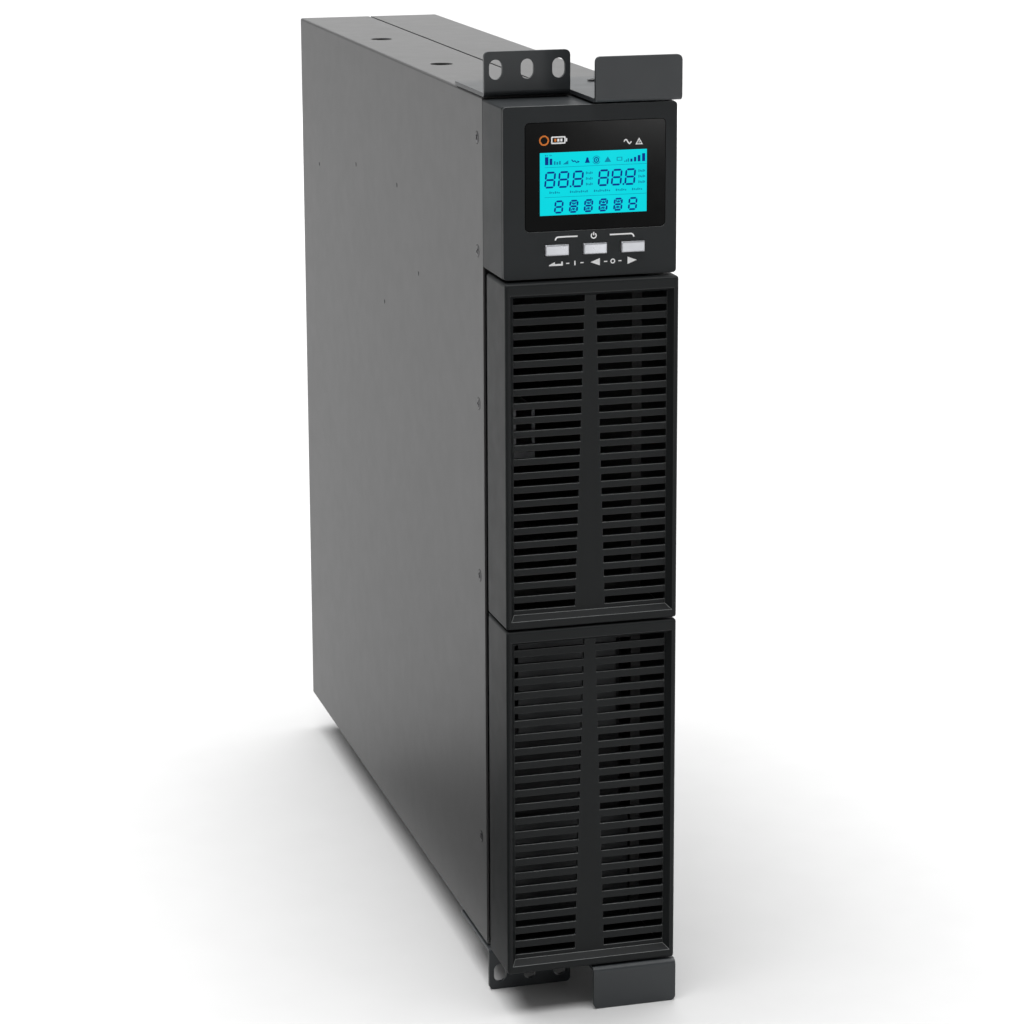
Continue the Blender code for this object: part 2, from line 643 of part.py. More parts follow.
def push_button(name, x, height):
    """A domed key with a retaining flange and a stem behind the face plate."""
    wide, tall = BUTTON_SIZE[0] / 2, BUTTON_SIZE[1] / 2
    face_back = -DISPLAY_REACH + FACE_PLATE
    front, rim = y(-DISPLAY_REACH - BUTTON_PROUD), BUTTON_FLANGE
    flange_front, flange_back = y(face_back + GAP), y(face_back + GAP + rim)
    cap = box(name, (x - wide, front, height - tall),
              (x + wide, (flange_front + flange_back) / 2, height + tall), SILVER)
    soften(cap, BUTTON_EDGE, lambda mid, way: mid.y < front + BUTTON_EDGE / 2)
    flange = box(name + "_flange", (x - wide - rim, flange_front, height - tall - rim),
                 (x + wide + rim, flange_back, height + tall + rim))
    stem_end = y(face_back + STEM[1])
    stem = cylinder(name + "_stem", (x, (flange_back + stem_end) / 2 - rim / 4, height), (0, 1, 0), STEM[0],
                    stem_end - flange_back + rim / 2, sides=12)
    return fuse(cap, flange, stem)


# ---- louvred covers -----------------------------------------------------
def louvred_cover(name, bottom, top):
    """A pull-off cover: sloping recess, two columns of louvres, tapering bar."""
    low, high = bottom + FRONT_GAP / 2, top - FRONT_GAP / 2
    half = COVER_WIDTH / 2
    shell = box(name, (-half, y(-COVER_REACH), z(low)), (half, y(-COVER_BACK), z(high)), PLASTIC)
    front = y(-COVER_REACH)
    soften(shell, COVER_EDGE, lambda mid, way: abs(way.y) > 0.9 or mid.y < front + COVER_EDGE / 2, 3)
    skirt = box(name + "_skirt", (-half + SKIRT_INSET, y(-COVER_BACK - SKIRT_OVERLAP), z(low + SKIRT_INSET)),
                (half - SKIRT_INSET, y(BULKHEAD_SETBACK - GAP), z(high - SKIRT_INSET)))
    wall = SKIRT_INSET + COVER_WALL
    grille_front = -COVER_REACH + RECESS_DEPTH
    hollow = box(name + "_hollow", (-half + wall, y(grille_front + GRILLE_THICK), z(low + wall)),
                 (half - wall, y(BULKHEAD_SETBACK + PAST), z(high - wall)))
    recess = tapered(name + "_recess", (-half + FRAME_SIDE, y(-COVER_REACH - GAP), z(low + FRAME_BELOW)),
                     (half - FRAME_SIDE, y(grille_front), z(high - FRAME_ABOVE)), RECESS_SLOPE)
    first, last = high - LOUVRE_ABOVE, low + LOUVRE_BELOW
    slots = []
    for row in range(LOUVRE_ROWS):
        share = row / (LOUVRE_ROWS - 1)
        middle = first + (last - first) * share
        bar = BAR_TOP + (BAR_BOTTOM - BAR_TOP) * share
        for side in (-1, 1):
            ends = sorted((side * bar, side * LOUVRE_END))
            slots.append(box("slot", (ends[0], y(grille_front - GRILLE_THICK), z(middle - LOUVRE_OPEN / 2)),
                             (ends[1], y(grille_front + 2 * GRILLE_THICK), z(middle + LOUVRE_OPEN / 2))))
    cut(fuse(shell, skirt), hollow, recess, merged(name + "_louvres", slots))
    axis = carrier(name + "_axis", (0, y(-COVER_REACH), z((low + high) / 2)))
    hang(axis, shell)


# ---- rack brackets ------------------------------------------------------
def bracket(name, face_height, outward):
    """Bent sheet on a narrow face: web, slotted ear and tongue with a handle plate."""
    half, sheet = BRACKET_WIDTH / 2, BRACKET_SHEET
    under = EAR + face_height + outward * GAP
    tip = EAR + face_height + outward * EAR

    def side_profile(reach):
        """Side outline of one bent strip, web to upturned end."""
        inner = BEND - sheet
        turns = [radians(90 * step / (BEND_STEPS - 1)) for step in range(BEND_STEPS)]
        outer_corner = (y(-reach) + BEND, under + outward * BEND)
        points = [(y(BRACKET_BACK), under), (y(BRACKET_BACK), under + outward * sheet)]
        points += [(outer_corner[0] - inner * sin(a), outer_corner[1] - outward * inner * cos(a))
                   for a in turns]
        points += [(y(-reach) + sheet, tip), (y(-reach), tip)]
        points += [(outer_corner[0] - BEND * sin(a), outer_corner[1] - outward * BEND * cos(a))
                   for a in reversed(turns)]
        return points

    low_z, high_z = sorted((tip, under - outward * PAST))
    ear = outline(name, side_profile(EAR_REACH), half - BRACKET_SPLIT, "X", BRACKET,
                  (-(half + BRACKET_SPLIT) / 2, 0, 0))
    plate = outline(name + "_plate", side_profile(PLATE_REACH), half - BRACKET_SPLIT, "X", None,
                    ((half + BRACKET_SPLIT) / 2, 0, 0))
    for strip, left, right in ((ear, -half, -BRACKET_SPLIT), (plate, BRACKET_SPLIT, half)):
        face = outline(name + "_face", rounded((left, low_z), (right, high_z), CORNER),
                       2 * (BRACKET_BACK + PLATE_REACH), "Y", None, (0, y(0), 0))
        boolean(strip, face, "INTERSECT")
    join = box(name + "_join", (-half / 2, y(SLIT_END), min(under, under + outward * sheet)),
               (half / 2, y(BRACKET_BACK), max(under, under + outward * sheet)))
    fuse(ear, join, plate)
    slot_height = tip - outward * SLOT_EDGE
    centre_x = -(half + BRACKET_SPLIT) / 2
    wide, tall = SLOT_SIZE[0] / 2, SLOT_SIZE[1] / 2
    slots = [outline("slot", rounded((x - wide, slot_height - tall), (x + wide, slot_height + tall),
                                     wide - GAP / 10, 5), PAST, "Y", None, (0, y(-EAR_REACH + sheet / 2), 0))
             for x in (centre_x + step * SLOT_PITCH for step in (-1, 0, 1))]
    depth = y(BRACKET_SCREW_DEPTH)
    bores = [cylinder("bore", (side * BRACKET_SCREW_X, depth, under), (0, 0, 1), SCREW_SHANK + GAP, PAST,
                      sides=16) for side in (-1, 1)]
    cut(ear, merged(name + "_slots", slots), merged(name + "_bores", bores))
    for side, word in ((-1, "left"), (1, "right")):
        face = under + outward * (sheet + GAP + SCREW_HEAD_THICK)
        screw(f"{name}_screw_{word}", (side * BRACKET_SCREW_X, depth, face), (0, 0, outward))


# ---- battery pack -------------------------------------------------------
def battery_pack():
    """Tray, batteries in line, retainer across the bay's mouth."""
    half, floor = BATTERY[0] / 2 + GAP, TRAY_FLOOR
    outer = half + TRAY_SHEET
    front = BATTERY_START - BATTERY_SPACING
    tray = box("battery_tray", (-outer, y(front), z(floor)), (outer, y(BATTERY_END), z(floor + TRAY_WALL)),
               STEEL)
    inside = box("tray_inside", (-half, y(front + TRAY_SHEET), z(floor + TRAY_SHEET)),
                 (half, y(BATTERY_END - TRAY_SHEET), z(floor + TRAY_WALL + PAST)))
    cut(tray, inside)
    for number in range(BATTERY_COUNT):
        battery(f"battery_{number + 1}", BATTERY_START + number * BATTERY_PITCH, floor + TRAY_SHEET + GAP)
    retainer()


def battery(name, start, base):
    """Sealed battery lying on its long edge, terminals towards the front."""
    half = BATTERY[0] / 2
    case = box(name, (-half, y(start), z(base)), (half, y(start + BATTERY[1]), z(base + BATTERY[2])), CASE)
    soften(case, CASE_EDGE, lambda mid, way: True, 1)
    thick, reach, tall = TAB
    tabs = [box("tab", (TAB_X, y(start - reach), z(base + up - tall / 2)),
                (TAB_X + thick, y(start + CASE_EDGE), z(base + up + tall / 2)))
            for up in (TAB_EDGE, BATTERY[2] - TAB_EDGE)]
    fuse(case, merged(name + "_tabs", tabs))


def retainer():
    """Plate across the bay's mouth that keeps the tray in, and its two screws."""
    wide, thick, tall = RETAINER
    high = BAY_HEIGHT + RETAINER_TOP
    front = BULKHEAD_SETBACK - GAP - thick
    plate = box("battery_retainer", (-wide / 2, y(front), z(high - tall)),
                (wide / 2, y(front + thick), z(high)), STEEL)
    soften(plate, RETAINER_CORNER, lambda mid, way: abs(way.y) > 0.9, 2)
    hole_x, hole_h = RETAINER_HOLE[0], high - RETAINER_HOLE[1]
    for target in (plate, bpy.data.objects["front_frame"]):
        bores = [cylinder("bore", (side * hole_x, y(BULKHEAD_SETBACK), z(hole_h)), (0, 1, 0),
                          SCREW_SHANK + GAP, PAST, sides=16) for side in (-1, 1)]
        cut(target, merged(target.name + "_retainer_bores", bores))
    for side, word in ((-1, "left"), (1, "right")):
        screw(f"retainer_screw_{word}", (side * hole_x, y(front - GAP - SCREW_HEAD_THICK), z(hole_h)),
              (0, -1, 0))


# ---- electronics --------------------------------------------------------
def electronics():
    """Main board with its heatsinks, magnetics and capacitors."""
    low, high = BAY_HEIGHT + SHEET + BOARD_EDGE, BODY_HEIGHT - BOARD_EDGE
    start, end = BULKHEAD_SETBACK + BULKHEAD_FLANGE + BOARD_EDGE, BODY_DEPTH - REAR_CLEAR
    wall = -HALF_BODY + SHEET + GAP
    back = wall + BOARD_STANDOFF
    face = back + BOARD_THICK
    board = box("main_board", (back, y(start), z(low)), (face, y(end), z(high)), BOARD)
    posts = [cylinder("post", ((wall + back) / 2 + GAP, y(d), z(h)), (1, 0, 0), POST_RADIUS,
                      BOARD_STANDOFF + GAP, sides=12)
             for d in (start + POST_INSET, end - POST_INSET) for h in (low + POST_INSET, high - POST_INSET)]
    fuse(board, merged("board_posts", posts))
    seat = face + GAP
    for word, height in zip(("upper", "lower"), HEATSINK_HEIGHTS):
        heatsink("heatsink_" + word, seat, start + HEATSINK_DEPTH, low + height)
    choke("choke_coil", seat, start + CHOKE_PLACE[0], low + CHOKE_PLACE[1])
    transformer("transformer", seat, start + TRANSFORMER_PLACE[0], low + TRANSFORMER_PLACE[1])
    for number, (depth, height) in enumerate(CAPACITOR_PLACES, 1):
        can = cylinder(f"capacitor_{number}", (seat + CAPACITOR_LENGTH / 2, y(start + depth), z(low + height)),
                       (1, 0, 0), CAPACITOR_RADIUS, CAPACITOR_LENGTH, SLEEVE, sides=20)
        smooth_round(can)


def heatsink(name, seat, depth, height):
    """Extruded heatsink: a base standing off the board with fins above it."""
    wide, length, tall = HEATSINK
    block = box(name, (seat, y(depth), z(height)), (seat + wide, y(depth + length), z(height + tall)),
                ALUMINIUM)
    pitch = (wide - FIN) / FIN_COUNT
    gaps = [box("gap", (seat + FIN + pitch * step, y(depth - PAST), z(height + FIN_ROOT)),
                (seat + pitch * (step + 1), y(depth + length + PAST), z(height + tall + PAST)))
            for step in range(FIN_COUNT)]
    return cut(block, merged(name + "_gaps", gaps))


def choke(name, seat, depth, height):
    """Toroidal choke standing on the board."""
    major, minor = CHOKE
    turns, sides = 28, 12
    shape = bmesh.new()
    rings = []
    for turn in range(turns):
        angle = 2 * pi * turn / turns
        ring = []
        for side in range(sides):
            swing = 2 * pi * side / sides
            reach = major + minor * cos(swing)
            ring.append(shape.verts.new((minor * sin(swing), reach * cos(angle), reach * sin(angle))))
        rings.append(ring)
    for turn in range(turns):
        for side in range(sides):
            here, after = rings[turn], rings[(turn + 1) % turns]
            following = (side + 1) % sides
            shape.faces.new((here[side], here[following], after[following], after[side]))
    bmesh.ops.recalc_face_normals(shape, faces=shape.faces)
    made = new_object(name, mesh_from(name, shape), COPPER, (seat + minor + GAP, y(depth), z(height)))
    return smooth_round(made)


def transformer(name, seat, depth, height):
    """Ferrite transformer: a core round a wound bobbin."""
    wide, long, tall = CORE
    core = box(name, (seat, y(depth - long / 2), z(height - tall / 2)),
               (seat + wide, y(depth + long / 2), z(height + tall / 2)), CASE)
    windows = [box("window", (seat - PAST, y(depth + side * CORE_LIMB - CORE_WINDOW[0] / 2),
                              z(height - CORE_WINDOW[1] / 2)),
                   (seat + wide + PAST, y(depth + side * CORE_LIMB + CORE_WINDOW[0] / 2),
                    z(height + CORE_WINDOW[1] / 2))) for side in (-1, 1)]
    cut(core, merged(name + "_windows", windows))
    proud, deep, high = WINDING
    root = seat + wide - CASE_EDGE
    winding = box(name + "_winding", (root, y(depth - deep / 2), z(height - high / 2)),
                  (root + proud, y(depth + deep / 2), z(height + high / 2)))
    soften(winding, 2 * CASE_EDGE, lambda mid, way: abs(way.x) < 0.1)
    return fuse(core, winding)


# ---- rear pieces --------------------------------------------------------
def fan(number, height):
    """Square fan: frame with struts, rotor and the guard outside."""
    back = BODY_DEPTH - SHEET - GAP
    front = back - FAN_THICK
    half = FAN_SIZE / 2
    frame = box(f"fan_frame_{number}", (-half, y(front), z(height - half)), (half, y(back), z(height + half)),
                PLASTIC)
    soften(frame, FAN_CORNER, lambda mid, way: abs(way.y) > 0.9, 2)
    bore = cylinder("fan_bore", (0, y((front + back) / 2), z(height)), (0, 1, 0), FAN_BORE,
                    FAN_THICK + PAST, sides=40)
    cut(frame, bore)
    wide, thick = STRUT[0] / 2, STRUT[1]
    reach = FAN_BORE + GAP
    start = front + GAP
    across = box("strut", (-reach, y(start), z(height - wide)), (reach, y(start + thick), z(height + wide)))
    upright = box("strut", (-wide, y(start), z(height - reach)), (wide, y(start + thick), z(height + reach)))
    motor = cylinder("fan_motor", (0, y(front + HUB_PLATE / 2), z(height)), (0, 1, 0), FAN_HUB, HUB_PLATE,
                     sides=24)
    fuse(frame, across, upright, motor)
    axis = carrier(f"fan_axis_{number}", (0, y(front), z(height)))
    hang(axis, rotor(f"fan_rotor_{number}", front + ROTOR_FRONT, back - ROTOR_BACK, height))
    guard(f"fan_guard_{number}", height)


def rotor(name, front, back, height):
    """Hub with pitched blades."""
    middle = y((front + back) / 2)
    hub = cylinder(name, (0, middle, z(height)), (0, 1, 0), FAN_HUB, back - front, CASE, sides=28)
    root = FAN_HUB - BLADE_ROOT
    blades = []
    for number in range(FAN_BLADES):
        shape = bmesh.new()
        bmesh.ops.create_cube(shape, size=1.0)
        bmesh.ops.scale(shape, vec=(FAN_TIP - root, *BLADE), verts=shape.verts)
        pitch = Matrix.Rotation(radians(BLADE_PITCH), 4, "X")
        out = Matrix.Translation(((FAN_TIP + root) / 2, 0, 0))
        turn = Matrix.Rotation(2 * pi * number / FAN_BLADES, 4, "Y")
        bmesh.ops.transform(shape, matrix=turn @ out @ pitch, verts=shape.verts)
        blades.append(new_object("blade", mesh_from("blade", shape), None, (0, middle, z(height))))
    return fuse(hub, merged(name + "_blades", blades))


def guard(name, height):
    """Flat finger guard: rings on two crossed bars."""
    inner, outer = y(BODY_DEPTH + GAP), y(BODY_DEPTH + GUARD_REACH)
    half_wire = GUARD_WIRE / 2
    middle = (inner + outer) / 2
    weld = middle + GAP
    bars = []
    for lean in (45, -45):
        bar = box(name, (-GUARD_BAR, inner, -half_wire), (GUARD_BAR, weld, half_wire),
                  None if bars else STEEL)
        bar.location.z = z(height)
        bar.rotation_euler = (0, radians(lean), 0)
        bars.append(bar)
    for radius in GUARD_RADII:
        ring, hollow = (
            cylinder("ring", (0, (middle + outer) / 2, z(height)), (0, 1, 0), reach, length, sides=28)
            for reach, length in ((radius + half_wire, outer - middle), (radius - half_wire, outer - inner)))
        fuse(bars[0], cut(ring, hollow))
    return fuse(*bars)


def flanged(name, x, height, body, flange, deep, proud, paint):
    """A rear piece: a body through the panel and a flange outside it."""
    face = y(BODY_DEPTH + proud)
    piece = box(name, (x - flange[0] / 2, y(BODY_DEPTH + GAP), z(height - flange[1] / 2)),
                (x + flange[0] / 2, face, z(height + flange[1] / 2)), paint)
    soften(piece, REAR_EDGE, lambda mid, way: abs(way.y) > 0.9, 1)
    inner = box(name + "_body", (x - body[0] / 2, y(BODY_DEPTH - deep), z(height - body[1] / 2)),
                (x + body[0] / 2, y(BODY_DEPTH + 2 * GAP), z(height + body[1] / 2)))
    return fuse(piece, inner)


def hollow_cut(x, height, size, face, deep):
    """A square recess cutter, from a face down to a depth behind it."""
    return box("recess", (x - size[0] / 2, y(face - deep), z(height - size[1] / 2)),
               (x + size[0] / 2, y(face + PAST), z(height + size[1] / 2)))


def outlet_block(name, x):
    """A column of power outlets in one moulding."""
    body = outlet_body_size()
    plate = (body[0] + 4 * REAR_EDGE, body[1] + 4 * REAR_EDGE)
    block = flanged(name, x, OUTLET_ROW, body, plate, OUTLET_BODY, OUTLET_PLATE, PLASTIC)
    heights = [OUTLET_ROW + (row - (OUTLET_ROWS - 1) / 2) * OUTLET_PITCH for row in range(OUTLET_ROWS)]
    face = BODY_DEPTH + OUTLET_PLATE
    recesses = [hollow_cut(x, h, SOCKET, face, SOCKET_DEEP) for h in heights]
    wide, tall = SOCKET_CORE[0] / 2, SOCKET_CORE[1] / 2
    cores = [box("core", (x - wide, y(face - SOCKET_DEEP - REAR_EDGE), z(h - tall)),
                 (x + wide, y(face - REAR_EDGE / 2), z(h + tall))) for h in heights]
    pins = [hollow_cut(x + across, h + rise, PIN, face, SOCKET_DEEP - REAR_EDGE)
            for h in heights for across, rise in PINS]
    cut(block, merged(name + "_recesses", recesses))
    fuse(block, merged(name + "_cores", cores))
    return cut(block, merged(name + "_pin_slots", pins))


def power_inlet():
    """Mains inlet with three blades in its recess."""
    inlet = flanged("ac_inlet", INLET_X, POWER_ROW, INLET_BODY, INLET_FLANGE, INLET_DEEP, INLET_PROUD, PLASTIC)
    face = BODY_DEPTH + INLET_PROUD
    root, tip = y(face - INLET_RECESS - REAR_EDGE), y(face - INLET_PROUD)
    blades = [box("inlet_blade", (INLET_X + across - BLADES[0] / 2, root, z(POWER_ROW + rise - BLADES[1] / 2)),
                  (INLET_X + across + BLADES[0] / 2, tip, z(POWER_ROW + rise + BLADES[1] / 2)))
              for across, rise in PINS]
    return fuse(cut(inlet, hollow_cut(INLET_X, POWER_ROW, SOCKET, face, INLET_RECESS)),
                merged("inlet_blades", blades))


def breaker():
    """Input breaker: threaded neck through the panel, and its reset button."""
    radius, proud = BREAKER_COLLAR
    wide, deep, tall = BREAKER_CASE
    place, behind = (BREAKER_X, z(POWER_ROW)), y(BODY_DEPTH - SHEET - 10 * GAP)
    neck_end = y(BODY_DEPTH + (proud + GAP) / 2)
    collar = cylinder("breaker_body", (place[0], neck_end, place[1]), (0, 1, 0), radius, proud - GAP, PLASTIC,
                      sides=24)
    neck = cylinder("breaker_neck", (place[0], (behind - REAR_EDGE + neck_end) / 2, place[1]), (0, 1, 0),
                    BREAKER_NECK, neck_end - behind + REAR_EDGE, sides=24)
    case = box("breaker_case", (place[0] - wide / 2, behind - deep, place[1] - tall / 2),
               (place[0] + wide / 2, behind, place[1] + tall / 2))
    bore = cylinder("breaker_bore", (place[0], y(BODY_DEPTH), place[1]), (0, 1, 0), BREAKER_BORE,
                    2 * BREAKER_DEEP, sides=24)
    cut(fuse(collar, neck, case), bore)
    reach, key_proud = BREAKER_KEY
    end = y(BODY_DEPTH + key_proud)
    inner = y(BODY_DEPTH - BREAKER_DEEP + BREAKER_TRAVEL)
    button = cylinder("breaker_button", (place[0], (inner + end) / 2, place[1]), (0, 1, 0), reach, end - inner,
                      SILVER, sides=20)
    axis = carrier("breaker_axis", (place[0], y(BODY_DEPTH), place[1]))
    hang(axis, button)


def small_ports():
    """Serial and USB ports, battery connector and the blank card cover."""
    serial = flanged("serial_port", SERIAL_X, PORT_ROW, SERIAL_BODY, SERIAL_FLANGE, *SERIAL_DEPTH, STEEL)
    cut(serial, hollow_cut(SERIAL_X, PORT_ROW, SERIAL_RECESS, BODY_DEPTH, SERIAL_CUT))
    usb = flanged("usb_port", USB_X, PORT_ROW, USB_BODY, USB_FLANGE, *USB_DEPTH, STEEL)
    cut(usb, hollow_cut(USB_X, PORT_ROW, USB_RECESS, BODY_DEPTH, USB_CUT))
    plug = flanged("battery_connector", 0.0, BATTERY_ROW, BATTERY_PORT, BATTERY_PORT_FLANGE,
                   *BATTERY_PORT_DEPTH, PLASTIC)
    poles = [hollow_cut(side * POLE_X, BATTERY_ROW, POLE, BODY_DEPTH, POLE_CUT) for side in (-1, 1)]
    cut(plug, merged("battery_poles", poles))
    flanged("card_slot_cover", 0.0, CARD_ROW, CARD_BODY, CARD_FLANGE, *CARD_DEPTH, CHASSIS)


def build():
    """Make every piece."""
    chassis_shell("left_shell", -1)
    chassis_shell("right_shell", 1)
    bulkhead()
    rear_panel()
    bay_divider()
    side_screws()
    display_module()
    louvred_cover("mid_cover", MID_BOTTOM, DISPLAY_BOTTOM)
    louvred_cover("lower_cover", 0.0, MID_BOTTOM)
    bracket("top_bracket", BODY_HEIGHT, 1)
    bracket("bottom_bracket", 0.0, -1)
    battery_pack()
    electronics()
    for number, height in enumerate(fan_heights(), 1):
        fan(number, height)
    outlet_block("outlet_block_left", -OUTLET_COLUMN)
    outlet_block("outlet_block_right", OUTLET_COLUMN)
    power_inlet()
    breaker()
    small_ports()


build()
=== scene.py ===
"""Looks for the uninterruptible power supply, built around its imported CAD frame.

Metres, +Z up, the front faces -Y. Pieces are placed from the CAD nodes' boxes.
Two-dimensional drawings on the front are (X, Z) loops in millimetres from the
left bottom corner of the piece that they are printed on.
"""
from math import cos, hypot, pi, radians, sin

import bmesh
import bpy
from mathutils import Matrix, Vector

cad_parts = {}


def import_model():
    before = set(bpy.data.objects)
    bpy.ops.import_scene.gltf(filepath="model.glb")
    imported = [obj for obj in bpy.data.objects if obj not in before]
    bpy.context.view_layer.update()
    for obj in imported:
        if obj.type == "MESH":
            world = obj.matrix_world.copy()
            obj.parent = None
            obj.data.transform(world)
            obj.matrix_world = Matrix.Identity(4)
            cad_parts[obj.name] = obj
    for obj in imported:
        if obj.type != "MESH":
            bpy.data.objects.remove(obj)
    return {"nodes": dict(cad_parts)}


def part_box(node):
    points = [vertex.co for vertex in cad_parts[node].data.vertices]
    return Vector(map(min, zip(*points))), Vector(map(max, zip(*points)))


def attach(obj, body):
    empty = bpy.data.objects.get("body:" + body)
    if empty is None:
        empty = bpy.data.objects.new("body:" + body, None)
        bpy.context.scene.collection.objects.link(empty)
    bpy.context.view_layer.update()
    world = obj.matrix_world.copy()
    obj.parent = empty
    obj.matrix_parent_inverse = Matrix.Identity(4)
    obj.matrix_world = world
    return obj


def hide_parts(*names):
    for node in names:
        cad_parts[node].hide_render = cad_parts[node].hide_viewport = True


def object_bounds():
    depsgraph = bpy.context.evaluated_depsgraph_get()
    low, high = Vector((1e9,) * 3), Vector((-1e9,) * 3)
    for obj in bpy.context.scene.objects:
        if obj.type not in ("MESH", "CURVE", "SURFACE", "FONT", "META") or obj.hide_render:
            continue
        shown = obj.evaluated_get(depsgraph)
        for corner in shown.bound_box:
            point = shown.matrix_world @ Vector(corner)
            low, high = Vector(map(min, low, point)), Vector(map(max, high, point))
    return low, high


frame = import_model()
cad_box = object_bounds()
NODES = frame["nodes"]
MM = 0.001

# ---- camera and light ---------------------------------------------------
CAMERA_PLACE = (-0.41856, -1.60570, 0.63143)
CAMERA_TURN = 15.469        # degrees right of +Y
CAMERA_DOWN = 12.245        # degrees below the horizon
CAMERA_ROLL = -0.231
CAMERA_LENS = 105.92        # mm, on a 36 mm sensor
CAMERA_SHIFT = -0.120
FLOOR_SIZE = 40.0
FLOOR_GREY = 0.56
SKY = 0.25
SUN = 5.4                   # watts per square metre from above
SUN_SPREAD = 60.0           # degrees across, for soft shadows
SUN_FROM = (-0.06, 0.10, 1.0)

# dark cloth on the floor, unseen by the camera, that keeps the floor's glare off the front
CLOTH_LOW, CLOTH_HIGH, CLOTH_UP = (-1.10, -1.10), (-0.08, 0.15), 0.0002

# name, place, aimed at, width and height in metres, watts
LIGHTS = (
    ("left_softbox", (-1.80, 0.90, 1.30), (0.0, 0.10, 0.35), (1.2, 1.2), 0.3),
    ("backdrop", (1.50, 3.20, 0.95), (0.0, 0.0, 0.45), (3.0, 1.6), 18.0),
    ("front_card", (0.55, -1.75, 0.30), (0.03, -0.24, 0.45), (0.16, 0.10), 0.8),
)

# ---- fine detail --------------------------------------------------------
METAL_EDGE = 0.25 * MM
PLASTIC_EDGE = 0.35 * MM
COVER_EDGE = 0.45 * MM
FACE_EDGE = 0.7 * MM
PRINT_THICK = 0.02 * MM
SEGMENT_THICK = 0.02 * MM
SCREW_RINGS, SCREW_SECTORS = 14, 40
SCREW_HEAD = 0.7 * MM
SCREW_RIM, SCREW_SUNK = 0.62, 0.55              # heights as shares of the head's
SCREW_SLOT, SCREW_REACH = 0.16, 0.62            # half a slot's width and length as shares of the radius
DOME_POWER = 2.4                                # a higher one gives a flatter dome
SPIN_BY_LENGTH, SPIN_BY_LAST = 37, 23           # degrees, so each screw's name turns it its own way
RIVET_RADIUS, RIVET_PROUD = 1.3 * MM, 0.3 * MM
# mm behind the chassis' front edge and above its bottom
RIVETS = ((387.6, 353.3), (284.4, 366.8), (182.1, 369.2), (215.6, 298.5), (134.5, 328.3))


# ---- materials ----------------------------------------------------------
MOTTLE_SIZE, WEAR_SIZE = 0.035, 0.012           # metres, of the patches of colour and of roughness
NOISE_LOW, NOISE_HIGH = 0.3, 0.7                # the part of a noise field's range that is used
# the painted highlight on rounded edges grows between these heights of an edge's normal
RIM_HIGHLIGHT_FROM, RIM_HIGHLIGHT_TO = 0.25, 0.75                 # how far up an edge faces
SCREEN_PATCHES = 28.0                           # per metre, of brighter light
SCREEN_UNLIT = 0.05                             # the unlit colour's share of the lit one


def surface(name, colour, roughness, metallic=0.0, grain=None, mottle=0.05, specular=0.5, rough_spread=0.06,
            brushed=None):
    """A Principled material with fine bump, colour mottling and uneven roughness.

    `grain` is (size in metres, bump height in metres, strength); `brushed` stretches
    the grain along one axis.
    """
    made = bpy.data.materials.new(name)
    made.use_nodes = True
    nodes, links = made.node_tree.nodes, made.node_tree.links
    shader = nodes["Principled BSDF"]
    shader.inputs["Metallic"].default_value = metallic
    shader.inputs["Specular IOR Level"].default_value = specular
    place = nodes.new("ShaderNodeTexCoord")

    def noise(size, detail, stretch=None):
        field = nodes.new("ShaderNodeTexNoise")
        field.inputs["Scale"].default_value = 1.0 / size
        field.inputs["Detail"].default_value = detail
        where = place.outputs["Object"]
        if stretch:
            mapping = nodes.new("ShaderNodeMapping")
            mapping.inputs["Scale"].default_value = stretch
            links.new(where, mapping.inputs["Vector"])
            where = mapping.outputs["Vector"]
        links.new(where, field.inputs["Vector"])
        return field.outputs["Fac"]

    def spread(field, low, high):
        ranged = nodes.new("ShaderNodeMapRange")
        ends = {"From Min": NOISE_LOW, "From Max": NOISE_HIGH, "To Min": low, "To Max": high}
        for socket, value in ends.items():
            ranged.inputs[socket].default_value = value
        links.new(field, ranged.inputs["Value"])
        return ranged.outputs["Result"]

    mix = nodes.new("ShaderNodeMix")
    mix.data_type = "RGBA"
    mix.inputs["A"].default_value = (*(c * (1 - mottle) for c in colour), 1)
    mix.inputs["B"].default_value = (*(min(1.0, c * (1 + mottle)) for c in colour), 1)
    links.new(spread(noise(MOTTLE_SIZE, 4.0), 0.0, 1.0), mix.inputs["Factor"])
    links.new(mix.outputs["Result"], shader.inputs["Base Color"])
    links.new(spread(noise(WEAR_SIZE, 3.0), roughness - rough_spread, roughness + rough_spread),
              shader.inputs["Roughness"])
    if grain:
        size, height, strength = grain
        bump = nodes.new("ShaderNodeBump")
        bump.inputs["Strength"].default_value = strength
        bump.inputs["Distance"].default_value = height
        links.new(noise(size, 2.0, brushed), bump.inputs["Height"])
        links.new(bump.outputs["Normal"], shader.inputs["Normal"])
    return made


def painted_rim_highlight(made, highlight_colour):
    """Lightens the edges that face up: a painted highlight where the light from above catches them."""
    nodes, links = made.node_tree.nodes, made.node_tree.links
    plain = nodes["Principled BSDF"].inputs["Base Color"].links[0].from_socket
    facing, split, ranged, mix = (nodes.new("ShaderNode" + kind)
                                  for kind in ("NewGeometry", "SeparateXYZ", "MapRange", "Mix"))
    ranged.inputs["From Min"].default_value = RIM_HIGHLIGHT_FROM
    ranged.inputs["From Max"].default_value = RIM_HIGHLIGHT_TO
    mix.data_type = "RGBA"
    mix.inputs["B"].default_value = (*highlight_colour, 1)
    links.new(facing.outputs["True Normal"], split.inputs["Vector"])
    links.new(split.outputs["Z"], ranged.inputs["Value"])
    links.new(ranged.outputs["Result"], mix.inputs["Factor"])
    links.new(plain, mix.inputs["A"])
    links.new(mix.outputs["Result"], nodes["Principled BSDF"].inputs["Base Color"])
    return made


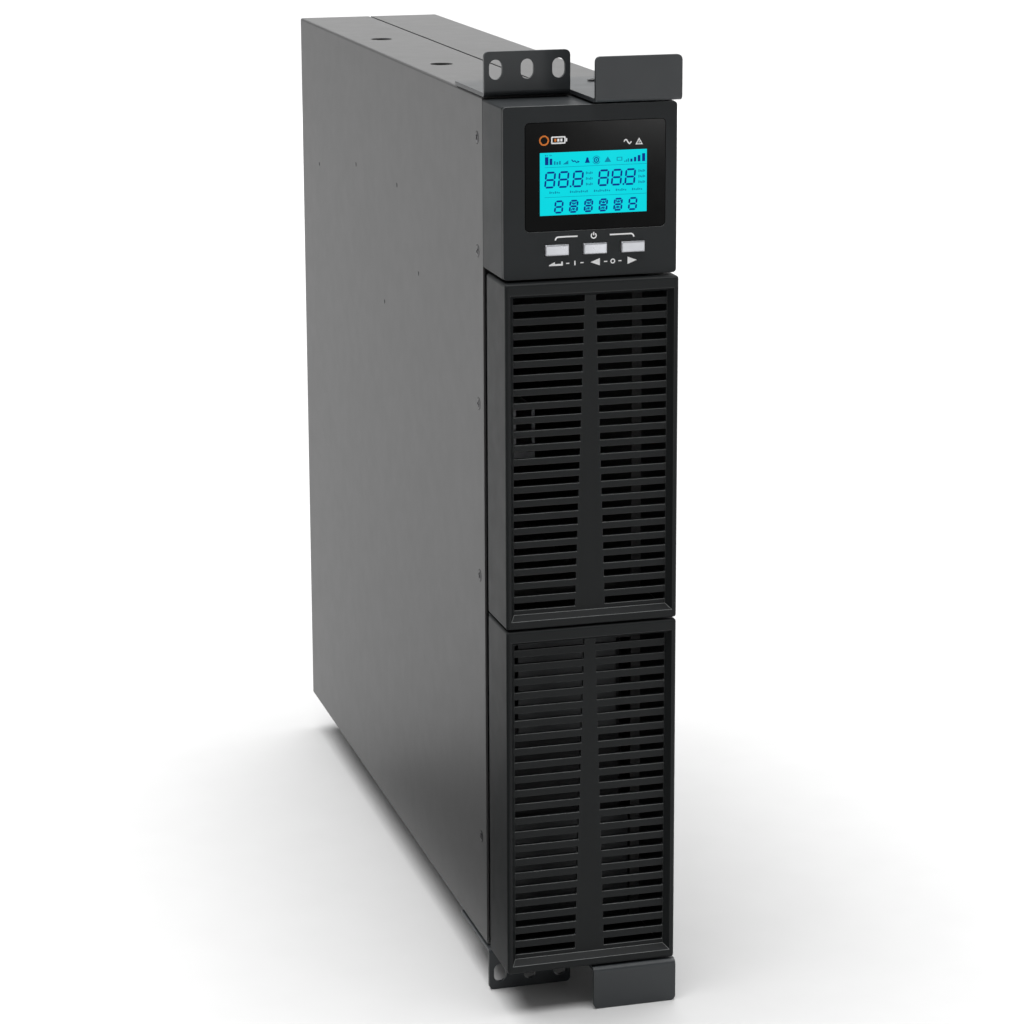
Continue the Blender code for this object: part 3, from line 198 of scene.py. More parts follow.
def glowing(name, colour, strength, streak):
    """A lit screen: even emission with a slightly brighter, uneven patch."""
    made = surface(name, tuple(c * SCREEN_UNLIT for c in colour), 0.25, specular=0.04)
    nodes, links = made.node_tree.nodes, made.node_tree.links
    shader = nodes["Principled BSDF"]
    shader.inputs["Emission Strength"].default_value = strength
    place = nodes.new("ShaderNodeTexCoord")
    field = nodes.new("ShaderNodeTexNoise")
    field.inputs["Scale"].default_value = SCREEN_PATCHES
    links.new(place.outputs["Object"], field.inputs["Vector"])
    mix = nodes.new("ShaderNodeMix")
    mix.data_type = "RGBA"
    mix.inputs["A"].default_value = (*colour, 1)
    mix.inputs["B"].default_value = (*streak, 1)
    links.new(field.outputs["Fac"], mix.inputs["Factor"])
    links.new(mix.outputs["Result"], shader.inputs["Emission Color"])
    return made


MOULDED = {"grain": (0.6 * MM, 0.03 * MM, 0.6), "mottle": 0.03, "rough_spread": 0.02}
PRINTED = {"grain": (0.3 * MM, 0.01 * MM, 0.3), "mottle": 0.03, "specular": 0.3}

PAINT = surface("chassis_paint", (0.078, 0.078, 0.078), 0.46, grain=(0.9 * MM, 0.04 * MM, 0.5), mottle=0.02,
                rough_spread=0.012)
BLACK_PAINT = surface("bracket_paint", (0.027, 0.031, 0.034), 0.42, grain=(0.8 * MM, 0.04 * MM, 0.5),
                      mottle=0.03, rough_spread=0.02)
PLASTIC = surface("black_plastic", (0.0135, 0.0150, 0.0155), 0.48, specular=0.16, **MOULDED)
# rounded edges of the covers and the display face: a lighter, glossier copy of the black plastic, a painted
# highlight, lighter still where an edge faces up
PLASTIC_HIGHLIGHT_RIM = painted_rim_highlight(surface("black_plastic_rim_highlight", (0.026, 0.028, 0.028), 0.34,
                               grain=(0.6 * MM, 0.02 * MM, 0.4), mottle=0.03, specular=0.35,
                               rough_spread=0.02), (0.24, 0.25, 0.25))
FACE_PLASTIC = surface("display_plastic", (0.0205, 0.0230, 0.0245), 0.48, specular=0.18, **MOULDED)
LENS = surface("window_gloss", (0.0022, 0.0024, 0.0024), 0.12, mottle=0.1, specular=0.06, rough_spread=0.02)
SILVER = surface("button_silver", (0.56, 0.57, 0.60), 0.30, 0.55, (0.5 * MM, 0.01 * MM, 0.3), 0.03)
STEEL = surface("zinc_steel", (0.42, 0.43, 0.45), 0.34, 0.95, (0.5 * MM, 0.02 * MM, 0.4), 0.10,
                brushed=(1.0, 1.0, 0.06))
BLACK_SCREW = surface("black_screw", (0.035, 0.035, 0.037), 0.35, 0.6, (0.4 * MM, 0.01 * MM, 0.3), 0.1)
BOARD = surface("board_green", (0.010, 0.085, 0.035), 0.38, grain=(1.5 * MM, 0.06 * MM, 0.6), mottle=0.35)
ALUMINIUM = surface("heatsink_aluminium", (0.50, 0.51, 0.53), 0.36, 0.9, (0.4 * MM, 0.02 * MM, 0.5),
                    brushed=(1.0, 0.05, 1.0))
COPPER = surface("winding_copper", (0.50, 0.19, 0.06), 0.30, 0.8, (1.2 * MM, 0.25 * MM, 0.9), 0.15,
                 brushed=(1.0, 0.3, 0.3))
CASE = surface("battery_case", (0.022, 0.022, 0.024), 0.55, grain=(1.1 * MM, 0.05 * MM, 0.6), mottle=0.1,
               specular=0.3)
SLEEVE = surface("capacitor_sleeve", (0.012, 0.020, 0.060), 0.30, grain=(2.0 * MM, 0.03 * MM, 0.3),
                 mottle=0.1)
PRINT = surface("white_print", (0.95, 0.95, 0.95), 0.45, **PRINTED)
ORANGE = surface("orange_print", (0.75, 0.20, 0.02), 0.45, **PRINTED)
LCD = glowing("screen", (0.0, 0.60, 0.68), 1.0, (0.0, 0.74, 0.80))
INK = glowing("screen_segments", (0.0, 0.030, 0.26), 0.8, (0.0, 0.045, 0.32))
FAINT_INK = glowing("screen_marks", (0.0, 0.22, 0.38), 0.9, (0.0, 0.27, 0.42))


# ---- helpers ------------------------------------------------------------
def placed(name, data):
    """A new object in the scene."""
    made = bpy.data.objects.new(name, data)
    bpy.context.scene.collection.objects.link(made)
    return made


def add(name, data, paint, body):
    """A new piece at the origin that rides on a body."""
    made = placed(name, data)
    data.materials.append(paint)
    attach(made, body)
    return made


def mesh_of(name, shape):
    """A mesh from a bmesh, which is freed."""
    mesh = bpy.data.meshes.new(name)
    bmesh.ops.recalc_face_normals(shape, faces=shape.faces)
    shape.to_mesh(mesh)
    shape.free()
    return mesh


def plate(name, loops, corner, front, thick, paint, body):
    """Flat shapes facing -Y from closed (X, Z) loops in mm; a loop inside another is a hole."""
    curve = bpy.data.curves.new(name, "CURVE")
    curve.dimensions, curve.fill_mode, curve.extrude = "2D", "BOTH", thick / 2
    for loop in loops:
        line = curve.splines.new("POLY")
        line.points.add(len(loop) - 1)
        for knot, point in zip(line.points, loop):
            knot.co = (point[0] * MM, point[1] * MM, 0.0, 1.0)
        line.use_cyclic_u = True
    drawn = placed(name + "_drawing", curve)
    bpy.context.view_layer.update()
    graph = bpy.context.evaluated_depsgraph_get()
    mesh = bpy.data.meshes.new_from_object(drawn.evaluated_get(graph))
    bpy.data.objects.remove(drawn, do_unlink=True)
    mesh.transform(Matrix(((1, 0, 0, corner[0]), (0, 0, -1, front + thick / 2), (0, 1, 0, corner[1]),
                           (0, 0, 0, 1))))
    mesh.name = name
    return add(name, mesh, paint, body)


def arc(centre, radius, start, end, steps=8):
    """Points along an arc, angles in degrees."""
    angles = [radians(start + (end - start) * step / steps) for step in range(steps + 1)]
    return [(centre[0] + radius * cos(a), centre[1] + radius * sin(a)) for a in angles]


def rectangle(low, high, radius=0.0):
    """A rectangle's loop, rounded when it has a radius."""
    if not radius:
        return [low, (high[0], low[1]), high, (low[0], high[1])]
    return (arc((high[0] - radius, low[1] + radius), radius, -90, 0)
            + arc((high[0] - radius, high[1] - radius), radius, 0, 90)
            + arc((low[0] + radius, high[1] - radius), radius, 90, 180)
            + arc((low[0] + radius, low[1] + radius), radius, 180, 270))


SHARPEST_MITRE = 0.4


def ribbon(points, width):
    """The loop of an even stroke along an open line, with mitred corners."""
    offsets = []
    for index, point in enumerate(points):
        before = points[max(index - 1, 0)]
        after = points[min(index + 1, len(points) - 1)]
        ways = []
        for start, end in ((before, point), (point, after)):
            length = hypot(end[0] - start[0], end[1] - start[1])
            if length > 0:
                ways.append(((end[0] - start[0]) / length, (end[1] - start[1]) / length))
        across = Vector((-sum(way[1] for way in ways), sum(way[0] for way in ways))).normalized()
        mitre = max(SHARPEST_MITRE, abs(across.x * -ways[0][1] + across.y * ways[0][0]))
        offsets.append((across.x * width / 2 / mitre, across.y * width / 2 / mitre))
    left = [(p[0] + o[0], p[1] + o[1]) for p, o in zip(points, offsets)]
    right = [(p[0] - o[0], p[1] - o[1]) for p, o in zip(points, offsets)]
    return left + right[::-1]


def ring(centre, radius, width, start=0.0, end=360.0):
    """A ring or an open arc of an even width, as one or two loops."""
    if end - start >= 360:
        return [arc(centre, radius + width / 2, 0, 350, 35), arc(centre, radius - width / 2, 0, 350, 35)]
    return [arc(centre, radius + width / 2, start, end, 20) + arc(centre, radius - width / 2, end, start, 20)]


def wires(name, lines, radius, paint, body):
    """Round wires along (points, closed) lines, as one curve piece."""
    curve = bpy.data.curves.new(name, "CURVE")
    curve.dimensions, curve.bevel_depth, curve.bevel_resolution = "3D", radius, 3
    curve.use_fill_caps = True
    for points, closed in lines:
        line = curve.splines.new("POLY")
        line.points.add(len(points) - 1)
        for knot, point in zip(line.points, points):
            knot.co = (*point, 1.0)
        line.use_cyclic_u = closed
        line.use_smooth = True
    return add(name, curve, paint, body)


WELD_DISTANCE = 0.004 * MM
SHARP = 38.0                # degrees, from which an edge is rounded


def finish_node(name, paint, edge=0.0, rim=None):
    """Paint a CAD node and round its sharp edges with modifiers, giving the rounded faces the rim's paint, a
    painted highlight, if it has one.
    """
    node = NODES[name]
    node.data.materials.clear()
    node.data.materials.append(paint)
    if edge:
        weld = node.modifiers.new("weld", "WELD")
        weld.merge_threshold = WELD_DISTANCE
        rounding = node.modifiers.new("edges", "BEVEL")
        rounding.width, rounding.segments = edge, 2
        rounding.limit_method, rounding.angle_limit = "ANGLE", radians(SHARP)
        rounding.harden_normals = True
        if rim:
            node.data.materials.append(rim)
            rounding.material = 1


# ---- CAD nodes that keep their shape -------------------------------------
def dress_nodes():
    """Materials and rounded edges for the carried-over nodes."""
    dressed = {
        PAINT: (METAL_EDGE, ("left_shell", "right_shell", "front_frame", "rear_panel", "card_slot_cover")),
        BLACK_PAINT: (METAL_EDGE, ("top_bracket", "bottom_bracket", "battery_tray", "battery_retainer")),
        PLASTIC: (PLASTIC_EDGE, ("fan_frame_1", "fan_frame_2", "outlet_block_left", "outlet_block_right",
                                 "ac_inlet", "breaker_body", "battery_connector")),
        FACE_PLASTIC: (PLASTIC_EDGE, ("display_housing",)),
        SILVER: (METAL_EDGE, ("button_enter", "button_left", "button_right", "breaker_button")),
        STEEL: (METAL_EDGE, ("bay_divider", "serial_port", "usb_port")),
        BOARD: (0.0, ("main_board", "display_board")),
        ALUMINIUM: (0.0, ("heatsink_upper", "heatsink_lower")),
        COPPER: (0.0, ("choke_coil",)),
        CASE: (METAL_EDGE, ("battery_1", "battery_2", "battery_3", "transformer")),
        SLEEVE: (METAL_EDGE, ("capacitor_1", "capacitor_2")),
    }
    for paint, (edge, names) in dressed.items():
        for name in names:
            finish_node(name, paint, edge)
    # the covers' and the display face's rounded edges get the rim paint, a painted highlight
    for name in ("mid_cover", "lower_cover"):
        finish_node(name, PLASTIC, COVER_EDGE, PLASTIC_HIGHLIGHT_RIM)
    finish_node("display_face", FACE_PLASTIC, FACE_EDGE, PLASTIC_HIGHLIGHT_RIM)


# ---- screws and rivets ----------------------------------------------------
def screw_mesh(radius):
    """A domed head facing +Z with a cross recess, its seat at the origin."""
    shape = bmesh.new()

    def point(r, turn):
        across, along = r * cos(turn), r * sin(turn)
        far = hypot(across, along) / radius
        near, out = sorted((abs(across), abs(along)))
        sunk = SCREW_SUNK if near < SCREW_SLOT * radius and out < SCREW_REACH * radius else 0.0
        height = SCREW_RIM + (1 - SCREW_RIM) * (1 - far ** DOME_POWER) - sunk
        return shape.verts.new((across, along, SCREW_HEAD * height))

    centre = point(0.0, 0.0)
    rows = [[point(radius * step / SCREW_RINGS, 2 * pi * k / SCREW_SECTORS) for k in range(SCREW_SECTORS)]
            for step in range(1, SCREW_RINGS + 1)]
    rows.append([shape.verts.new((*corner.co.xy, 0.0)) for corner in rows[-1]])
    for k in range(SCREW_SECTORS):
        after = (k + 1) % SCREW_SECTORS
        shape.faces.new((centre, rows[0][k], rows[0][after]))
        for inner, outer in zip(rows, rows[1:]):
            shape.faces.new((inner[k], outer[k], outer[after], inner[after]))
    shape.faces.new(rows[-1])
    return mesh_of("screw_head", shape)


def screw_way(name, middle):
    """The direction that a screw's head faces."""
    if name.startswith("side"):
        return Vector((1 if middle.x > 0 else -1, 0, 0))
    if name.startswith("retainer"):
        return Vector((0, -1, 0))
    half_height = (cad_box[0][2] + cad_box[1][2]) / 2
    return Vector((0, 0, 1 if middle.z > half_height else -1))


def screws():
    """Cross-recessed heads in place of the CAD screws, the retainer's steel ones first."""
    names = [name for name in NODES if "_screw_" in name]
    names.sort(key=lambda name: not name.startswith("retainer"))
    for name in names:
        low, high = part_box(name)
        middle = (low + high) / 2
        way = screw_way(name, middle)
        radius = max(high[a] - low[a] for a in range(3) if not way[a]) / 2
        face = Vector(high[a] if way[a] > 0 else low[a] for a in range(3))
        seat = Vector(face[a] - way[a] * SCREW_HEAD if way[a] else middle[a] for a in range(3))
        mesh = screw_mesh(radius)
        turn = Vector((0, 0, 1)).rotation_difference(way).to_matrix().to_4x4()
        spin = Matrix.Rotation(radians(len(name) * SPIN_BY_LENGTH + ord(name[-1]) * SPIN_BY_LAST), 4, "Z")
        mesh.transform(Matrix.Translation(seat) @ turn @ spin)
        paint = STEEL if name.startswith("retainer") else BLACK_SCREW
        made = add(name + "_head", mesh, paint, "chassis")
        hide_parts(name)


def rivets():
    """Low domed rivets on the left wall."""
    wall_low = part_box("left_shell")[0]
    for number, (depth, height) in enumerate(RIVETS, 1):
        shape = bmesh.new()
        bmesh.ops.create_uvsphere(shape, u_segments=20, v_segments=12, radius=1.0)
        bmesh.ops.scale(shape, vec=(RIVET_PROUD, RIVET_RADIUS, RIVET_RADIUS), verts=shape.verts)
        place = (wall_low.x, wall_low.y + depth * MM, wall_low.z + height * MM)
        bmesh.ops.translate(shape, vec=place, verts=shape.verts)
        mesh = mesh_of("rivet", shape)
        mesh.shade_smooth()
        add(f"rivet_{number}", mesh, BLACK_SCREW, "chassis")


# ---- display --------------------------------------------------------------
LCD_LOW, LCD_SIZE = (7.2, 7.4), (53.6, 30.3)     # lit area in the window, mm
LCD_CLEAR = 0.02                                 # round the screen, mm
LCD_INSET = 0.15 * MM                            # behind the window's front
LENS_CORNER = 2.0                                # mm
SLANT = 0.09                                     # of the digits, sideways per height


def window():
    """Glossy window with the lit screen behind its opening."""
    low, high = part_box("display_window")
    corner = (low.x, low.z)
    size = ((high.x - low.x) / MM, (high.z - low.z) / MM)
    lit_high = (LCD_LOW[0] + LCD_SIZE[0], LCD_LOW[1] + LCD_SIZE[1])
    lens = plate("window_lens", [rectangle((0, 0), size, LENS_CORNER), rectangle(LCD_LOW, lit_high)], corner,
                 low.y, high.y - low.y, LENS, "display")
    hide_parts("display_window")
    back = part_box("lcd_panel")[1].y
    front = low.y + LCD_INSET
    lit = rectangle((LCD_LOW[0] + LCD_CLEAR, LCD_LOW[1] + LCD_CLEAR),
                    (lit_high[0] - LCD_CLEAR, lit_high[1] - LCD_CLEAR))
    screen = plate("lcd_screen", [lit], corner, front, back - front, LCD, "display")
    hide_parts("lcd_panel")
    return (corner[0] + LCD_LOW[0] * MM, corner[1] + LCD_LOW[1] * MM), front


def segment(start, end, width):
    """A display segment with pointed ends between two points."""
    start, end = Vector(start), Vector(end)
    along = (end - start).normalized()
    across = Vector((-along.y, along.x)) * width / 2
    tip = along * width / 2
    return [tuple(p) for p in (start, start + tip + across, end - tip + across, end, end - tip - across,
                               start + tip - across)]


def slanted(loops, base):
    """Loops leaning to the right above a base height."""
    return [[(x + (h - base) * SLANT, h) for x, h in loop] for loop in loops]


def digit(left, base, wide, tall, width, filled=False):
    """A seven-segment eight, or a fourteen-segment one when filled."""
    gap = width * 0.22
    middle, top, right = base + tall / 2, base + tall, left + wide
    loops = [segment((left + gap, h), (right - gap, h), width) for h in (base, middle, top)]
    loops += [segment((x, low + gap), (x, high - gap), width)
              for x in (left, right) for low, high in ((base, middle), (middle, top))]
    if filled:
        centre, inner = left + wide / 2, width * 0.75
        loops += [segment((centre, low + inner), (centre, high - inner), width * 0.7)
                  for low, high in ((base, middle), (middle, top))]
        for x in (left + inner, right - inner):
            for h, way in ((base + inner, 1), (top - inner, -1)):
                end = (centre + (x - centre) * 0.35, h + way * (tall / 2 - 2 * inner) * 0.8)
                loops.append(ribbon([(x, h), end], width * 0.5))
    return slanted(loops, base)


def dashes(left, base, wide, tall, marks):
    """A short row of upright marks standing for a unit or a label."""
    pitch = wide / marks
    return [rectangle((left + pitch * k, base + (0.0, 0.15, 0.0)[k % 3] * tall),
                      (left + pitch * (k + 0.62), base + tall * (1.0, 0.8, 0.65)[k % 3]))
            for k in range(marks)]


LEVEL_BARS = ((2.6, 1.7, 3.8), (4.9, 1.3, 3.0), (45.3, 1.0, 1.4), (47.1, 1.1, 2.2), (49.0, 1.3, 3.0),
              (51.2, 1.5, 3.8))                  # left, width and height
LABELS = ((4.8, 5.4, 6), (15.0, 9.2, 10), (27.0, 8.4, 9), (38.0, 5.6, 6),
          (46.2, 5.4, 6))                        # left, width and number of marks
LARGE_DIGITS = (2.6, 9.3, 16.5, 29.3, 35.9, 42.7)
LARGE_STROKE, SMALL_STROKE = 0.92, 0.88
RULES_DOWN, RULE_WIDTH = (7.2, 21.6), 0.18       # heights below the screen's top, as in the next line
LARGE_DOWN, LABELS_DOWN, SMALL_DOWN = 16.7, 19.8, 29.0
SMALL_LEFT, SMALL_PITCH, SMALL_COUNT = 7.4, 7.42, 6


def top_row(tall):
    """The screen's top row: level bars at both ends and small symbols between them."""
    foot = tall - 5.9
    dark = [rectangle((x, foot), (x + bar, foot + height)) for x, bar, height in LEVEL_BARS]
    faint = [mark for x, bar, height in LEVEL_BARS[:2] for mark in dashes(x, tall - 1.7, bar, 0.7, 2)]
    faint += [rectangle((7.0 + 1.3 * k, foot), (7.8 + 1.3 * k, tall - 4.2 - 0.4 * (k % 2))) for k in range(3)]
    faint.append([(11.4, foot), (14.2, foot), (14.2, tall - 4.0)])
    # wave with an arrowhead
    dark.append(ribbon([(15.8, tall - 3.8), (16.6, tall - 4.7), (17.5, tall - 4.4), (18.4, tall - 5.4)],
                       0.45))
    dark.append([(18.7, tall - 4.3), (19.9, tall - 4.9), (18.7, tall - 5.5)])
    # bell
    dark.append([(22.4, tall - 5.6), (23.0, tall - 4.3), (23.3, tall - 3.0), (24.1, tall - 3.0),
                 (24.4, tall - 4.3), (25.0, tall - 5.6)])
    # sun
    sun = (28.2, tall - 4.4)
    dark += ring(sun, 1.1, 0.5) + [arc(sun, 0.4, 0, 330, 11)]
    faint += ring(sun, 1.9, 0.3, 20, 160) + ring(sun, 1.9, 0.3, 200, 340)
    # triangle, box and rising bars
    faint.append([(32.2, tall - 5.6), (33.9, tall - 2.9), (35.6, tall - 5.6)])
    faint += [rectangle((38.4, tall - 5.2), (41.2, tall - 3.4)),
              rectangle((38.8, tall - 4.9), (40.8, tall - 3.7))]
    faint += [rectangle((42.2 + 0.9 * k, foot), (42.8 + 0.9 * k, tall - 5.3 + 0.5 * k)) for k in range(3)]
    return dark, faint


def lcd_graphics(corner, front):
    """Digits, rules, level bars and small marks on the lit screen."""
    wide, tall = LCD_SIZE
    dark, faint = top_row(tall)
    faint += [rectangle((2.4, tall - down), (wide - 0.2, tall - down + RULE_WIDTH)) for down in RULES_DOWN]
    # two groups of three large digits with points and unit marks
    base = tall - LARGE_DOWN
    for left in LARGE_DIGITS:
        dark += digit(left, base, 4.4, 7.1, LARGE_STROKE)
    dark += [rectangle((x, base - 0.35), (x + 0.8, base + 0.55)) for x in (14.9, 41.4)]
    for x in (23.0, 49.4):
        for row in (0.2, 2.9, 5.6):
            faint += dashes(x, base + row, 3.6, 1.3, 5)
    for x, length, marks in LABELS:
        faint += dashes(x, tall - LABELS_DOWN, length, 1.1, marks)
    # six smaller digits, the inner four with middle strokes
    for k in range(SMALL_COUNT):
        dark += digit(SMALL_LEFT + SMALL_PITCH * k, tall - SMALL_DOWN, 3.6, 5.4, SMALL_STROKE,
                      filled=0 < k < SMALL_COUNT - 1)
    plate("lcd_digits", dark, corner, front - SEGMENT_THICK, SEGMENT_THICK, INK, "display")
    plate("lcd_marks", faint, corner, front - SEGMENT_THICK, SEGMENT_THICK, FAINT_INK, "display")


def window_icons():
    """White indicator symbols and a plain battery symbol on the window."""
    low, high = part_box("display_window")
    corner, front = (low.x, low.z), low.y - PRINT_THICK
    wave = [(49.2 + 0.46 * k, 41.6 + 1.05 * sin(k * pi / 4)) for k in range(9)]
    white = [ribbon(wave, 0.62)]
    # triangle with a mark in it
    white += [[(54.9, 40.0), (58.7, 40.0), (56.8, 43.3)], [(55.75, 40.5), (57.85, 40.5), (56.8, 42.35)]]
    white.append(rectangle((56.62, 40.75), (56.98, 41.75)))
    # battery with three bars, the first one orange, and a ring before it
    x = 12.8
    white += [rectangle((x, 41.8), (x + 7.2, 45.4), 0.6),
              rectangle((x + 0.65, 42.45), (x + 6.55, 44.75), 0.3),
              rectangle((x + 7.35, 42.8), (x + 8.0, 44.4))]
    bars = [rectangle((x + step, 42.9), (x + step + 1.0, 44.3)) for step in (1.6, 3.1, 4.6)]
    plate("window_symbols", white + bars[1:], corner, front, PRINT_THICK, PRINT, "display")
    plate("window_orange_symbol", bars[:1] + ring((9.3, 43.6), 2.1, 0.75), corner, front, PRINT_THICK, ORANGE,
          "display")


LEGEND_STROKE = 0.72
LEGEND_BEND = 1.5                                # radius where the line turns down to a key
LINE_ABOVE_KEYS, ROW_BELOW_KEYS = 2.6, 3.6


def face_legends():
    """White line and symbols round the three buttons."""
    low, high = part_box("display_face")
    corner, front = (low.x, low.z), low.y - PRINT_THICK
    keys = [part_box(name) for name in ("button_enter", "button_left", "button_right")]
    enter, left, right = [((k[0].x + k[1].x) / 2 - low.x) / MM for k in keys]
    top, bottom = (keys[0][1].z - low.z) / MM, (keys[0][0].z - low.z) / MM
    line, row = top + LINE_ABOVE_KEYS, bottom - ROW_BELOW_KEYS
    bend = line - LEGEND_BEND
    loops = [ribbon([(enter - 0.6, top + 1.0)] + arc((enter + 0.9, bend), LEGEND_BEND, 180, 90, 5)
                    + [(left - 8.6, line)], LEGEND_STROKE)]
    loops.append(ribbon([(left + 7.6, line)] + arc((right - 0.9, bend), LEGEND_BEND, 90, 0, 5)
                        + [(right + 0.6, top + 1.0)], LEGEND_STROKE))
    # stand-by symbol where the line opens
    hub = (left - 0.5, line - 0.1)
    loops += ring(hub, 1.25, 0.55, 125, 415)
    loops.append(rectangle((hub[0] - 0.28, hub[1] + 0.15), (hub[0] + 0.28, hub[1] + 1.75)))
    # enter arrow
    x = enter - 3.9
    loops.append([(x, row), (x + 3.0, row + 1.45), (x + 3.0, row + 0.45), (x + 6.2, row + 0.45),
                  (x + 6.2, row + 1.5), (x + 7.0, row + 1.5), (x + 7.0, row - 0.45), (x + 0.2, row - 0.45)])
    # a bar between short dashes, then a ring between short dashes
    middles = [(enter + left) / 2 - 0.4, (left + right) / 2 - 0.4]
    for middle in middles:
        loops += [rectangle((middle + side - 0.8, row + 0.25), (middle + side + 0.8, row + 0.75))
                  for side in (-3.6, 3.6)]
    loops.append(rectangle((middles[0] - 0.3, row - 0.6), (middles[0] + 0.3, row + 1.6)))
    loops += ring((middles[1], row + 0.5), 0.95, 0.5)
    # arrowheads under the other two keys
    for centre, way in ((left + 0.3, -1), (right - 0.2, 1)):
        loops.append([(centre + way * 2.4, row + 0.5), (centre - way * 2.3, row + 2.3),
                      (centre - way * 2.3, row - 1.3)])
    plate("face_legends", loops, corner, front, PRINT_THICK, PRINT, "display")


# ---- rear -----------------------------------------------------------------
GUARD_WIRE = 0.8 * MM                            # radius
GUARD_RADII = (10.0, 19.0, 28.0, 37.5)           # of its rings, mm
GUARD_REACH = 1.36                               # a leg's end, in half widths from the middle
GUARD_LEG_DEPTH = 2.6 * GUARD_WIRE               # a leg's axis behind the guard's rear face
HUB_RADIUS = 17.0 * MM
HUB_SECTORS = 40
TIP_SHARE = 0.985                                # of the CAD rotor's radius
BLADES, BLADE_STEPS, BLADE_CHORDS = 7, 7, 6
BLADE_THICK = 0.55 * MM                          # half of it, at mid chord
BLADE_CAMBER = 1.2 * MM
BLADE_ROOT = 0.96                                # of the hub's radius, so that it starts inside
BLADE_SWING, BLADE_TAPER = 38, 6                 # degrees about the axis at the root, and less at the tip
BLADE_CHORD = 0.62                               # half a chord, as a share of the swing
BLADE_LEAN = 0.30                                # radians from root to tip
BLADE_WIDTH, BLADE_NARROWING = 0.86, 0.10        # share of the rotor's depth, and its loss at the tip


def fan_guard(number):
    """Round-wire finger guard: rings on four legs that reach for the corners."""
    name = f"fan_guard_{number}"
    low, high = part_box(name)
    middle = (low + high) / 2
    y_rings, y_legs = high.y - GUARD_WIRE, high.y - GUARD_LEG_DEPTH
    lines = []
    for radius in GUARD_RADII:
        around = [(middle.x + x * MM, y_rings, middle.z + h * MM) for x, h in arc((0, 0), radius, 0, 350, 35)]
        lines.append((around, True))
    reach = (high.x - low.x) / 2 * GUARD_REACH
    for corner in range(4):
        turn = radians(45 + 90 * corner)
        lines.append(([(middle.x + cos(turn) * r, y_legs, middle.z + sin(turn) * r)
                       for r in (GUARD_RADII[0] * MM, reach)], False))
    made = wires(name + "_wires", lines, GUARD_WIRE, STEEL, "chassis")
    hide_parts(name)


def rotor_hub(shape, half_depth):
    """A closed drum about Y with bevelled rims."""
    profile = [(HUB_RADIUS * 0.7, half_depth), (HUB_RADIUS * 0.93, half_depth - 0.4 * MM),
               (HUB_RADIUS, half_depth - 1.6 * MM), (HUB_RADIUS, -half_depth + 0.6 * MM),
               (HUB_RADIUS * 0.95, -half_depth)]
    turns = [2 * pi * k / HUB_SECTORS for k in range(HUB_SECTORS)]
    rows = [[shape.verts.new((r * cos(turn), back, r * sin(turn))) for turn in turns] for r, back in profile]
    for first, second in zip(rows, rows[1:]):
        for k in range(HUB_SECTORS):
            after = (k + 1) % HUB_SECTORS
            shape.faces.new((first[k], first[after], second[after], second[k]))
    shape.faces.new(rows[0])
    shape.faces.new(rows[-1])


def rotor_blade(shape, start, tip, half_depth):
    """A swept, twisted blade from the hub to its tip, as a front and a rear skin."""
    root = HUB_RADIUS * BLADE_ROOT
    for face in (-1, 1):
        grid = []
        for step in range(BLADE_STEPS + 1):
            share = step / BLADE_STEPS
            r = root + (tip - root) * share
            swing = radians(BLADE_SWING - BLADE_TAPER * share)
            lean = start + BLADE_LEAN * share
            row = []
            for part in range(BLADE_CHORDS + 1):
                along = (part / BLADE_CHORDS - 0.5) * 2
                turn = lean + along * (swing * BLADE_CHORD)
                back = along * half_depth * BLADE_WIDTH * (1 - BLADE_NARROWING * share)
                back += BLADE_CAMBER * (1 - along ** 2)
                skin = BLADE_THICK * face * (1 - 0.8 * abs(along) ** 3)
                row.append(shape.verts.new((r * cos(turn), back + skin, r * sin(turn))))
            grid.append(row)
        for first, second in zip(grid, grid[1:]):
            for part in range(BLADE_CHORDS):
                shape.faces.new((first[part], first[part + 1], second[part + 1], second[part]))


def fan_rotor(number, body):
    """A drum hub with swept, twisted blades."""
    name = f"fan_rotor_{number}"
    low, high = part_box(name)
    half_depth = (high.y - low.y) / 2
    shape = bmesh.new()
    rotor_hub(shape, half_depth)
    for blade in range(BLADES):
        rotor_blade(shape, 2 * pi * blade / BLADES, (high.z - low.z) / 2 * TIP_SHARE, half_depth)
    bmesh.ops.remove_doubles(shape, verts=shape.verts, dist=0.02 * MM)
    bmesh.ops.translate(shape, vec=(low + high) / 2, verts=shape.verts)
    mesh = mesh_of(name, shape)
    mesh.shade_smooth()
    mesh.set_sharp_from_angle(angle=radians(40))
    made = add(name + "_blades", mesh, CASE, body)
    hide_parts(name)


# ---- stage ----------------------------------------------------------------
def ground(name, low, high, up, paint):
    """A flat rectangle of the stage."""
    shape = bmesh.new()
    bmesh.ops.create_grid(shape, x_segments=1, y_segments=1, size=0.5)
    low, high = Vector((*low, up)), Vector((*high, up))
    bmesh.ops.scale(shape, vec=(high.x - low.x, high.y - low.y, 1), verts=shape.verts)
    bmesh.ops.translate(shape, vec=(low + high) / 2, verts=shape.verts)
    made = placed(name, mesh_of(name, shape))
    made.data.materials.append(paint)
    return made


def one_sided(made):
    """Makes a material clear from behind, so the cloth lets the floor's own light through."""
    nodes, links = made.node_tree.nodes, made.node_tree.links
    side, clear, either = (nodes.new("ShaderNode" + kind)
                           for kind in ("NewGeometry", "BsdfTransparent", "MixShader"))
    links.new(side.outputs["Backfacing"], either.inputs["Fac"])
    links.new(nodes["Principled BSDF"].outputs["BSDF"], either.inputs[1])
    links.new(clear.outputs["BSDF"], either.inputs[2])
    links.new(either.outputs["Shader"], nodes["Material Output"].inputs["Surface"])
    return made


